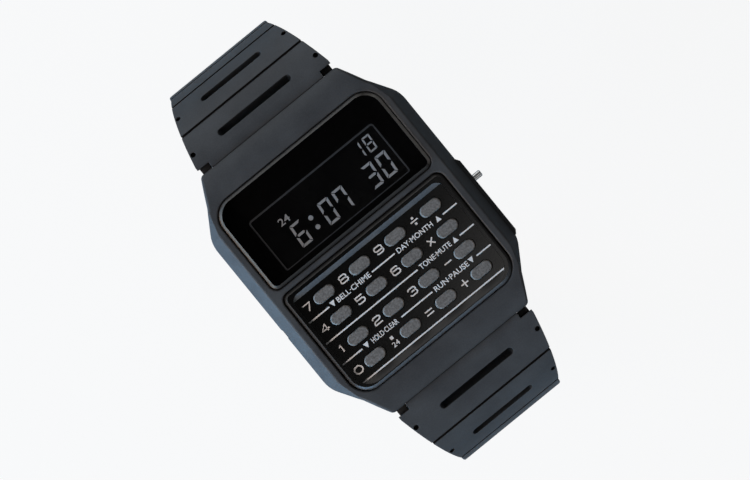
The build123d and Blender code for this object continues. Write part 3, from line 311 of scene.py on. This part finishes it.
def panel_plastic():
    """Gloss black plastic, with satin slopes and bevel that carry a painted sheen: grey where they face 6
    o'clock, darker painted shade elsewhere.
    """
    material, tree, coordinates = start_material("black_gloss_abs")
    place = {"Vector": coordinates["Object"]}
    flat = level_share(tree, 0.9, 0.97)
    patch_scale = {"Scale": 1 / (4.0 * MM), "Detail": 3.0}
    patches = add_node(tree, "ShaderNodeTexNoise", values=patch_scale, links=place)["Fac"]
    grain_scale = {"Scale": 1 / (0.2 * MM), "Detail": 2.0}
    grain = add_node(tree, "ShaderNodeTexNoise", values=grain_scale, links=place)["Fac"]
    # Painted reflection: slopes and bevel are grey where they face 6 o'clock, and painted shade near black
    # where they face elsewhere
    painted_slope_sheen_tones = [(0.3, "#50575d"), (0.7, "#666d74")]
    painted_slope_sheen = add_node(tree, "ShaderNodeValToRGB", links={"Fac": grain}, stops=painted_slope_sheen_tones)["Color"]
    faces = add_node(tree, "ShaderNodeSeparateXYZ", links={"Vector": coordinates["Normal"]})
    span = {"From Min": -0.5, "From Max": -0.2}
    away = add_node(tree, "ShaderNodeMapRange", values=span, links={"Value": faces["Y"]})["Result"]
    colours = {"data_type": "RGBA"}
    painted_slope_sheen = add_node(
        tree, "ShaderNodeMix", colours, {mix_second: linear("#1c1a19")}, {mix_share: away, mix_first: painted_slope_sheen}
    )[mix_result]
    gloss_tones = [(0.3, "#020202"), (0.7, "#050505")]
    gloss = add_node(tree, "ShaderNodeValToRGB", links={"Fac": patches}, stops=gloss_tones)["Color"]
    tone = add_node(
        tree, "ShaderNodeMix", colours, links={mix_share: flat, mix_first: painted_slope_sheen, mix_second: gloss}
    )[mix_result]
    satin_to_gloss = {"To Min": 0.45, "To Max": 0.14}
    rough = add_node(tree, "ShaderNodeMapRange", values=satin_to_gloss, links={"Value": flat})["Result"]
    relief_depth = {"Strength": 0.04, "Distance": 0.03 * MM}
    relief = add_node(tree, "ShaderNodeBump", values=relief_depth, links={"Height": grain})["Normal"]
    finish_material(tree, {}, {"Base Color": tone, "Roughness": rough, "Normal": relief})
    return material


def clear_crystal():
    """Acrylic, clear on its flat top, with a satin bevel that carries a painted highlight and shade: lightest
    on the right, darker towards 12 and 6.
    """
    material, tree, coordinates = start_material("polished_acrylic")
    flat = level_share(tree, 0.75, 0.95)
    wear_scale = {"Scale": 1 / (6.0 * MM), "Detail": 2.0}
    wear = add_node(
        tree, "ShaderNodeTexNoise", values=wear_scale, links={"Vector": coordinates["Object"]}
    )["Fac"]
    satin_to_polish = {"To Min": 0.4, "To Max": 0.04}
    polish = add_node(tree, "ShaderNodeMapRange", values=satin_to_polish, links={"Value": flat})["Result"]
    rough = add_node(
        tree, "ShaderNodeMath", {"operation": "MULTIPLY_ADD"}, {1: wear_share}, {0: wear, 2: polish}
    )["Value"]
    satin_to_clear = {"To Min": 0.9, "To Max": 0.08}
    cover = add_node(tree, "ShaderNodeMapRange", values=satin_to_clear, links={"Value": flat})["Result"]
    # Painted highlight and shade on the bevel, by the way each face points: light to the right, dark towards 6,
    # mid grey towards 12
    faces = add_node(tree, "ShaderNodeSeparateXYZ", links={"Vector": coordinates["Normal"]})
    span = {"From Min": -0.7, "From Max": 0.7}
    rightward = add_node(tree, "ShaderNodeMapRange", values=span, links={"Value": faces["X"]})["Result"]
    painted_rim_tones = [(0.0, "#5c5148"), (1.0, "#d6d4d2")]
    painted_rim_tone = add_node(tree, "ShaderNodeValToRGB", links={"Fac": rightward}, stops=painted_rim_tones)["Color"]
    colours = {"data_type": "RGBA"}
    span = {"From Min": -0.6, "From Max": -0.3}
    above_six = add_node(tree, "ShaderNodeMapRange", values=span, links={"Value": faces["Y"]})["Result"]
    painted_rim_tone = add_node(
        tree, "ShaderNodeMix", colours, {mix_first: linear("#2c2c2c")}, {mix_share: above_six, mix_second: painted_rim_tone}
    )[mix_result]
    span = {"From Min": 0.3, "From Max": 0.6}
    to_twelve = add_node(tree, "ShaderNodeMapRange", values=span, links={"Value": faces["Y"]})["Result"]
    painted_rim_tone = add_node(
        tree, "ShaderNodeMix", colours, {mix_second: linear("#4c4a48")}, {mix_share: to_twelve, mix_first: painted_rim_tone}
    )[mix_result]
    tone = add_node(
        tree, "ShaderNodeMix", colours, {mix_second: linear("#020202")}, {mix_share: flat, mix_first: painted_rim_tone}
    )[mix_result]
    finish_material(tree, {"IOR": 1.49}, {"Base Color": tone, "Roughness": rough, "Alpha": cover})
    return material


def print_ink(name, dark, light, specular=0.5):
    """Screen-printed ink: a matt film, slightly uneven where the screen's mesh left it."""
    return moulded(name, dark, light, grain_mm=0.08, bump=0.1, roughness=0.5, patch_mm=1.2, specular=specular)


# Polyurethane resin from a spark-finished mould: dull black and soft-edged, its grain drawn coarser to show,
# with painted shade in its slots and grooves
resin = moulded(
    "black_polyurethane_resin", "#313438", "#46494c", grain_mm=0.2, bump=0.25, roughness=0.6, round_mm=0.18,
    crevice_shade_mm=2.2,
)
# Moulded ABS with a polished face: the keypad's mirror black, with a painted sheen on its slopes and bevel
gloss_panel = panel_plastic()
# Silicone keys, filled and moulded: warm grey with a matt grain, drawn coarser than it is so that it shows
key_silicone = moulded(
    "grey_silicone_rubber", "#5a5856", "#8b8987", grain_mm=0.13, bump=0.4, roughness=0.62, patch_mm=0.3
)
# Silicone sheet under the keys: plain matt grey
mat_silicone = moulded("grey_silicone_mat", "#4a4a4c", "#5a5a5c", grain_mm=0.3, bump=0.2, roughness=0.7)
# Black mask print behind the crystal: takes nearly all light
mask_ink = print_ink("black_mask_ink", "#020202", "#040405", specular=0.05)
# White pad print on the keypad: flat and bright
white_ink = print_ink("white_pad_print", "#f0f1f2", "#ffffff")
# Segments of the reversed liquid crystal display: pale grey on black
segment_film = print_ink("liquid_crystal_segments", "#a4a6a8", "#b8babc")
# Dark grey line printed round the display
frame_ink = print_ink("display_border_ink", "#34373a", "#44474b")
# Epoxy glass board under its solder mask: deep green with a slight shine
board_mask = moulded("green_solder_mask", "#0d3b1e", "#14502b", grain_mm=0.5, bump=0.1, roughness=0.4)
# Glass-filled nylon of the module: near black and matt
module_nylon = moulded("black_glass_filled_nylon", "#16171a", "#222327", grain_mm=0.3, bump=0.3, roughness=0.6)
# Silicone connectors, extruded, with conducting stripes too fine to draw: dull, mottled pink
connector_rubber = moulded(
    "pink_striped_silicone", "#8c6a6a", "#b59595", grain_mm=0.1, bump=0.2, roughness=0.6, patch_mm=0.2
)
# Nitrile rubber of the seals and the gasket: soot black
seal_rubber = moulded("black_nitrile_rubber", "#0c0c0d", "#161617", grain_mm=0.2, bump=0.2, roughness=0.65)
# Epoxy cast over the chip: black with some gloss
epoxy = moulded("cast_black_epoxy", "#070708", "#101012", grain_mm=0.6, bump=0.1, roughness=0.3)
# Display glass with its polarising film: even black
display_back = moulded(
    "polarised_display_glass", "#020203", "#050506", grain_mm=0.5, bump=0.02, roughness=0.25, patch_mm=5.0,
    specular=0.15,
)
# Stainless steel brushed along Y: an even grey sheen
steel_lines = metal("brushed_stainless_steel", "#8d8f91", "#b4b6b8", (40, 1, 1), 0.32)
# Stainless steel turned on a lathe and polished: the brightest of the metals, with faint lines along X
steel_pin = metal("turned_stainless_steel", "#9a9c9e", "#cfd1d2", (1, 30, 30), 0.24, line_mm=0.2)
# Spring steel drawn through a die: grey with faint lines
spring_wire = metal("drawn_spring_steel", "#8a8b8c", "#b0b1b2", (1, 20, 20), 0.3)
# Nickel plate of the cell and the crystal's can: soft and pale
cell_steel = metal("nickel_plated_steel", "#9fa1a2", "#c8cacb", (6, 6, 1), 0.22, line_mm=0.5)
# Rolled brass of the buzzer disc: dull yellow
disc_brass = metal("rolled_brass", "#a8894a", "#cfae68", (30, 1, 1), 0.3)
# Enamelled copper wire, wound in a coil: red-brown with fine bands up its height
copper_wire = metal("enamelled_copper_wire", "#7a3e1c", "#a65a2c", (1, 1, 30), 0.35)
# Acrylic window, moulded and polished: clear on top, with a satin bevel painted with highlight and shade
crystal_acrylic = clear_crystal()

finishes = {
    "case_shell": resin, "strap_hole_half": resin, "strap_buckle_half": resin, "buckle_frame": resin,
    "strap_keeper": resin, "display_window": crystal_acrylic, "display_mask": mask_ink,
    "keypad_panel": gloss_panel, "key_mat": mat_silicone, "circuit_board": board_mask,
    "module_frame": module_nylon, "lcd_holder": module_nylon, "lcd_panel": display_back,
    "lcd_connectors": connector_rubber, "battery": cell_steel, "module_back_plate": steel_lines,
    "case_back": steel_lines, "case_gasket": seal_rubber, "quartz_crystal": cell_steel, "sealed_chip": epoxy,
    "buzzer_coil": copper_wire, "buzzer_disc": disc_brass, "buckle_tang": steel_lines,
}
for name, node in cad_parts.items():
    if name in finishes:
        finish = finishes[name]
    elif name.startswith("key_"):
        finish = key_silicone
    elif name.endswith("_seal"):
        finish = seal_rubber
    elif name.endswith(("_spring", "_clip")):
        finish = spring_wire
    else:
        finish = steel_pin
    node.data.materials.clear()
    node.data.materials.append(finish)


# Printed shapes
def piece(name, draw, material, body):
    """New object from a bmesh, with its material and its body."""
    shape = bmesh.new()
    draw(shape)
    bmesh.ops.recalc_face_normals(shape, faces=shape.faces)
    mesh = bpy.data.meshes.new(name)
    shape.to_mesh(mesh)
    shape.free()
    mesh.materials.append(material)
    made = bpy.data.objects.new(name, mesh)
    bpy.context.scene.collection.objects.link(made)
    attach(made, body)


def across(pixel):
    """Place along X of a pixel of the photograph turned upright."""
    return (pixel - middle_pixel) / pixels_per_mm * MM


def thicken(shape, faces):
    """Gives flat faces the print's thickness."""
    raised = bmesh.ops.extrude_face_region(shape, geom=faces)
    top = [corner for corner in raised["geom"] if isinstance(corner, bmesh.types.BMVert)]
    bmesh.ops.translate(shape, verts=top, vec=(0, 0, print_thickness))


def flat_shape(shape, points, z):
    """Thin printed shape with the given corners."""
    thicken(shape, [shape.faces.new([shape.verts.new((x, y, z)) for x, y in points])])


def bar(x0, x1, y0, y1):
    """Corners of an upright rectangle."""
    return [(x0, y0), (x1, y0), (x1, y1), (x0, y1)]


def stroke(shape, x, y, reach, half, z):
    """Level stroke about a place."""
    flat_shape(shape, bar(x - reach, x + reach, y - half, y + half), z)


def cross(shape, x, y, reach, turn):
    """Cross of two strokes as one outline, turned by an angle."""
    thin = stroke_half
    points = [
        (thin, thin), (thin, reach), (-thin, reach), (-thin, thin), (-reach, thin), (-reach, -thin),
        (-thin, -thin), (-thin, -reach), (thin, -reach), (thin, -thin), (reach, -thin), (reach, thin),
    ]
    place = Matrix.Translation((x, y, 0)) @ Matrix.Rotation(turn, 4, "Z")
    flat_shape(shape, [(place @ Vector((a, b, 0))).xy for a, b in points], field_level)


def ring(shape, outer, inner, z):
    """Thin printed ring between two rounded rectangles, each a half width, a bottom, a top and a radius."""
    for half, bottom, top, radius in (outer, inner):
        corners = [shape.verts.new((x, y, z)) for x, y in bar(-half, half, bottom, top)]
        shape.faces.new(corners)
        bmesh.ops.bevel(
            shape, geom=corners, offset=radius, segments=arc_steps, profile=0.5, affect="VERTICES", material=-1
        )
    bmesh.ops.delete(shape, geom=shape.faces[:], context="FACES_ONLY")
    thicken(shape, bmesh.ops.bridge_loops(shape, edges=shape.edges[:])["faces"])


def ribbon(shape, points, half, z):
    """Printed line of even width along a run of points, with mitred corners.

    It closes if it ends where it began.
    """
    run = [Vector(point) for point in points]
    closed = run[0] == run[-1]
    if closed:
        run.pop()
    count = len(run)
    sides = []
    for i, here in enumerate(run):
        inward = here - run[i - 1] if closed or i > 0 else run[1] - run[0]
        outward = run[(i + 1) % count] - here if closed or i < count - 1 else inward
        before = Vector((-inward.y, inward.x)).normalized()
        after = Vector((-outward.y, outward.x)).normalized()
        mitre = (before + after).normalized()
        reach = half * min(sharpest_mitre, 1 / mitre.dot(before))
        sides.append([shape.verts.new((*(here + mitre * reach * way), z)) for way in (1, -1)])
    faces = []
    for i in range(count if closed else count - 1):
        left, right = sides[i]
        next_left, next_right = sides[(i + 1) % count]
        faces.append(shape.faces.new((left, right, next_right, next_left)))
    thicken(shape, faces)


def write(shape, text, x, y, height, width, z):
    """Adds a word as thin solid letters, centred on a place, with a given height and width."""
    curve = bpy.data.curves.new("lettering", "FONT")
    curve.body = text
    curve.offset = letter_weight
    curve.extrude = letter_depth
    curve.resolution_u = letter_smoothness
    holder = bpy.data.objects.new("lettering", curve)
    letters = bpy.data.meshes.new_from_object(holder)
    xs, ys, zs = zip(*(corner.co for corner in letters.vertices))
    middle = Vector(((max(xs) + min(xs)) / 2, (max(ys) + min(ys)) / 2, min(zs)))
    size = (max(xs) - min(xs), max(ys) - min(ys), max(zs) - min(zs))
    scale = (width / size[0], height / size[1], print_thickness / size[2], 1)
    letters.transform(Matrix.Translation((x, y, z)) @ Matrix.Diagonal(scale) @ Matrix.Translation(-middle))
    shape.from_mesh(letters)
    bpy.data.objects.remove(holder)
    bpy.data.curves.remove(curve)
    bpy.data.meshes.remove(letters)


# Plain squarish numerals, as runs of points in a unit square
numerals = {
    "0": [[(.28, 0), (.72, 0), (1, .28), (1, .72), (.72, 1), (.28, 1), (0, .72), (0, .28), (.28, 0)]],
    "1": [[(.32, .8), (.58, 1), (.58, 0)]],
    "2": [[(0, .8), (.18, 1), (.82, 1), (1, .84), (1, .66), (.82, .5), (.18, .42), (0, .26), (0, 0), (1, 0)]],
    "3": [
        [
            (0, .82), (.18, 1), (.82, 1), (1, .84), (1, .66), (.85, .52), (1, .38), (1, .16), (.82, 0),
            (.18, 0), (0, .18),
        ],
        [(.35, .52), (.85, .52)],
    ],
    "4": [[(.72, 0), (.72, 1), (0, .28), (1, .28)]],
    "5": [[(1, 1), (.04, 1), (.04, .58), (.82, .58), (1, .42), (1, .16), (.82, 0), (.18, 0), (0, .16)]],
    "6": [[
        (.95, .86), (.8, 1), (.18, 1), (0, .82), (0, .16), (.18, 0), (.82, 0), (1, .16), (1, .42), (.82, .58),
        (0, .58),
    ]],
    "7": [[(0, 1), (1, 1), (.42, 0)]],
    "8": [
        [(.18, 0), (.82, 0), (1, .16), (1, .36), (.84, .52), (.16, .52), (0, .36), (0, .16), (.18, 0)],
        [(.16, .52), (.04, .66), (.04, .86), (.2, 1), (.8, 1), (.96, .86), (.96, .66), (.84, .52)],
    ],
    "9": [[
        (.05, .14), (.2, 0), (.82, 0), (1, .18), (1, .84), (.82, 1), (.18, 1), (0, .84), (0, .58), (.18, .42),
        (1, .42),
    ]],
}


def keypad_digits(shape):
    """Digits left of their keys."""
    wide = label_width - 2 * stroke_half
    tall = label_height - 2 * stroke_half
    for row, text in enumerate(rows):
        for column, sign in enumerate(text):
            left = first_key.x + column * key_pitch_x - label_offset - wide / 2
            low = first_key.y - row * key_pitch_y - tall / 2
            for run in numerals.get(sign, []):
                ribbon(shape, [(left + a * wide, low + b * tall) for a, b in run], stroke_half, field_level)


def keypad_signs(shape):
    """Signs of the four sums down the right, the equals sign, the decimal point and the hour mark under it."""
    divide_y, times_y, minus_y, last_y = (first_key.y - row * key_pitch_y for row in range(len(rows)))
    point_x, equals_x, sums_x = (first_key.x + column * key_pitch_x - label_offset for column in (1, 2, 3))
    stroke(shape, sums_x, divide_y, sign_reach, stroke_half, field_level)
    for lift in (dot_lift, -dot_lift):
        stroke(shape, sums_x, divide_y + lift, dot_half, dot_half, field_level)
    cross(shape, sums_x, times_y, times_reach, math.radians(45))
    stroke(shape, sums_x, minus_y, sign_reach, stroke_half, field_level)
    cross(shape, sums_x, last_y, sign_reach, 0)
    for lift in (equals_lift, -equals_lift):
        stroke(shape, equals_x, last_y + lift, sign_reach, stroke_half, field_level)
    stroke(shape, point_x, last_y + point_lift, point_half, point_half, field_level)
    write(shape, hours_text, point_x, last_y - hours_drop, hours_height, hours_width, field_level)


def keypad_lines(shape):
    """White lines between the rows of keys."""
    for y, start, end in line_spans:
        flat_shape(shape, bar(across(start), across(end), y - line_half, y + line_half), field_level)


def keypad_words(shape):
    """Plain words and arrowheads set into the lines."""
    for y, text, start, end in word_spans:
        left, right = across(start), across(end)
        write(shape, text, (left + right) / 2, y, word_height, right - left, field_level)
    for y, pixel, way in arrow_places:
        x = across(pixel)
        reach = way * arrow_half
        flat_shape(shape, [(x - reach, y - reach), (x + reach, y - reach), (x, y + reach)], field_level)


# Segments that are lit for each figure, by the letters that such displays give them
segments_of = {"0": "abcdef", "1": "bc", "3": "abgcd", "6": "afgecd", "7": "fabc", "8": "abcdefg"}


def figure(shape, sign, left, bottom, size):
    """One leaning figure of seven segments with mitred ends and fine gaps."""
    wide, tall, thick = size
    gap = thick * segment_gap_share
    half = thick / 2
    right = left + wide
    top = bottom + tall
    middle = bottom + tall / 2

    def level(y, inward):
        return [
            (left + gap, y), (right - gap, y), (right - gap - thick, y + inward * thick),
            (left + gap + thick, y + inward * thick),
        ]

    def upright(x, low, high, inward):
        near = x + inward * thick
        taper = gap + thick * upright_taper
        return [(x, low + gap), (x, high - gap), (near, high - taper), (near, low + taper)]

    shapes = {
        "a": level(top, -1),
        "b": upright(right, middle, top, -1),
        "c": upright(right, bottom, middle, -1),
        "d": level(bottom, 1),
        "e": upright(left, bottom, middle, 1),
        "f": upright(left, middle, top, 1),
        "g": [
            (left + gap + half, middle), (left + gap + thick, middle + half),
            (right - gap - thick, middle + half), (right - gap - half, middle),
            (right - gap - thick, middle - half), (left + gap + thick, middle - half),
        ],
    }
    for letter in segments_of[sign]:
        points = [(x + (y - bottom) * figure_lean, y) for x, y in shapes[letter]]
        flat_shape(shape, points, display_level)


def display_figures(shape):
    """Time, seconds, day of the month and a 24-hour mark, in plain figures."""
    for sign, pixel in time_figures:
        figure(shape, sign, across(pixel), time_bottom, time_size)
    for y in colon_heights:
        place = Matrix.Translation((colon_x, y, display_level))
        dot = bmesh.ops.create_circle(
            shape, cap_ends=True, segments=colon_corners, radius=colon_radius, matrix=place
        )
        thicken(shape, list(dot["verts"][0].link_faces))
    for sign, pixel in day_figures:
        figure(shape, sign, across(pixel), day_bottom, day_size)
    write(
        shape, hours_text, across(hours_pixel), hours_mark_y, hours_mark_height, hours_mark_width, display_level
    )


def display_border(shape):
    """Thin line round the display, with rounded corners, level with the mask's underside."""
    outer = (border_half, border_bottom, border_top, border_radius)
    inner = (
        border_half - border_line, border_bottom + border_line, border_top - border_line,
        border_radius - border_line,
    )
    ring(shape, outer, inner, border_level)


def display_surround(shape):
    """Black print on the crystal's underside, from the display mask's edge out to the crystal's own edge."""
    outer = (
        crystal_high.x - surround_inset, crystal_low.y + surround_inset, crystal_high.y - surround_inset,
        surround_radius,
    )
    inner = (
        mask_high.x - surround_lap, mask_low.y + surround_lap, mask_high.y - surround_lap, surround_radius / 2
    )
    ring(shape, outer, inner, surround_level)


piece("keypad_digits", keypad_digits, white_ink, "case")
piece("keypad_signs", keypad_signs, white_ink, "case")
piece("keypad_lines", keypad_lines, white_ink, "case")
piece("keypad_words", keypad_words, white_ink, "case")
piece("display_figures", display_figures, segment_film, "case")
piece("display_border", display_border, frame_ink, "case")
piece("display_surround", display_surround, mask_ink, "case")


# Floor, world, lamps and camera
def shown(tree, mirrored=None):
    """1 for rays that show the background: the camera's, those through glass and a share of those off gloss."""
    path = add_node(tree, "ShaderNodeLightPath")
    largest = {"operation": "MAXIMUM"}
    straight = {0: path["Is Camera Ray"], 1: path["Is Transmission Ray"]}
    direct = add_node(tree, "ShaderNodeMath", largest, links=straight)["Value"]
    if not mirrored:
        return direct
    gloss = add_node(
        tree, "ShaderNodeMath", {"operation": "MULTIPLY"}, links={0: path["Is Glossy Ray"], 1: mirrored}
    )["Value"]
    return add_node(tree, "ShaderNodeMath", largest, links={0: direct, 1: gloss})["Value"]


def build_floor():
    """Large floor that the watch stands on: pale paper with its shadow, mostly white where it is looked at."""
    shape = bmesh.new()
    bmesh.ops.create_grid(shape, x_segments=1, y_segments=1, size=floor_half)
    mesh = bpy.data.meshes.new("floor")
    shape.to_mesh(mesh)
    shape.free()
    floor = bpy.data.objects.new("floor", mesh)
    bpy.context.scene.collection.objects.link(floor)
    material = bpy.data.materials.new("white_studio_paper")
    material.use_nodes = True
    tree = material.node_tree
    tree.nodes.clear()
    paper = add_node(tree, "ShaderNodeBsdfDiffuse", values={"Color": linear("#cfd1d2")})["BSDF"]
    glow = {"Color": linear("#ffffff"), "Strength": 1.0}
    white = add_node(tree, "ShaderNodeEmission", values=glow)["Emission"]
    part = add_node(
        tree, "ShaderNodeMapRange", values={"To Max": floor_white_share}, links={"Value": shown(tree)}
    )["Result"]
    mixed = add_node(tree, "ShaderNodeMixShader", links={"Fac": part, 1: paper, 2: white})["Shader"]
    add_node(tree, "ShaderNodeOutputMaterial", links={"Surface": mixed})
    mesh.materials.append(material)


def build_world():
    """White background all round and dim even light. Gloss faces mirror a dark ceiling and a darker right."""
    world = bpy.data.worlds.new("studio")
    world.use_nodes = True
    bpy.context.scene.world = world
    tree = world.node_tree
    tree.nodes.clear()
    aim = add_node(tree, "ShaderNodeTexCoord")["Generated"]
    ways = add_node(tree, "ShaderNodeSeparateXYZ", links={"Vector": aim})
    span = {"From Min": ceiling_start, "From Max": walls_end}
    walls = add_node(tree, "ShaderNodeMapRange", values=span, links={"Value": ways["Z"]})["Result"]
    span = {"From Min": right_start, "From Max": right_end, "To Min": 1.0, "To Max": right_share}
    left = add_node(tree, "ShaderNodeMapRange", values=span, links={"Value": ways["X"]})["Result"]
    walls = add_node(tree, "ShaderNodeMath", {"operation": "MULTIPLY"}, links={0: walls, 1: left})["Value"]
    strength = add_node(
        tree, "ShaderNodeMapRange", values={"To Min": even_light}, links={"Value": shown(tree, walls)}
    )["Result"]
    back = add_node(
        tree, "ShaderNodeBackground", values={"Color": linear("#ffffff")}, links={"Strength": strength}
    )["Background"]
    add_node(tree, "ShaderNodeOutputWorld", links={"Surface": back})


def build_lamps():
    """Soft lamps of a given width and height, aimed at the case. A gloss face doesn't mirror the low one."""
    for name, place, size, power, colour, mirrored in lamps:
        data = bpy.data.lights.new(name, "AREA")
        data.shape = "RECTANGLE"
        data.size, data.size_y = size
        data.energy = power
        data.color = linear(colour)[:3]
        light = bpy.data.objects.new(name, data)
        light.location = place
        light.visible_glossy = mirrored
        aim = case_middle - Vector(place)
        light.rotation_euler = aim.to_track_quat("-Z", "Y").to_euler()
        bpy.context.scene.collection.objects.link(light)


def build_camera():
    """Camera straight above the face, turned so that the watch lies as in the photograph."""
    right = Vector((math.cos(watch_turn), -math.sin(watch_turn), 0))
    upward = Vector((math.sin(watch_turn), math.cos(watch_turn), 0))
    per_pixel = MM / pixels_per_mm
    offset = (right * (image_width / 2 - case_pixel_x) - upward * (image_height / 2 - case_pixel_y)) * per_pixel
    data = bpy.data.cameras.new("camera")
    data.sensor_width = sensor_width
    data.lens = sensor_width * camera_distance / (image_width * per_pixel)
    data.clip_start = nearest_seen
    camera = bpy.data.objects.new("camera", data)
    camera.location = offset + Vector((0, 0, case_top + camera_distance))
    camera.rotation_euler = (0, 0, -watch_turn)
    bpy.context.scene.collection.objects.link(camera)
    bpy.context.scene.camera = camera


build_floor()
build_world()
build_lamps()
build_camera()
bpy.context.scene.view_settings.view_transform = "Standard"
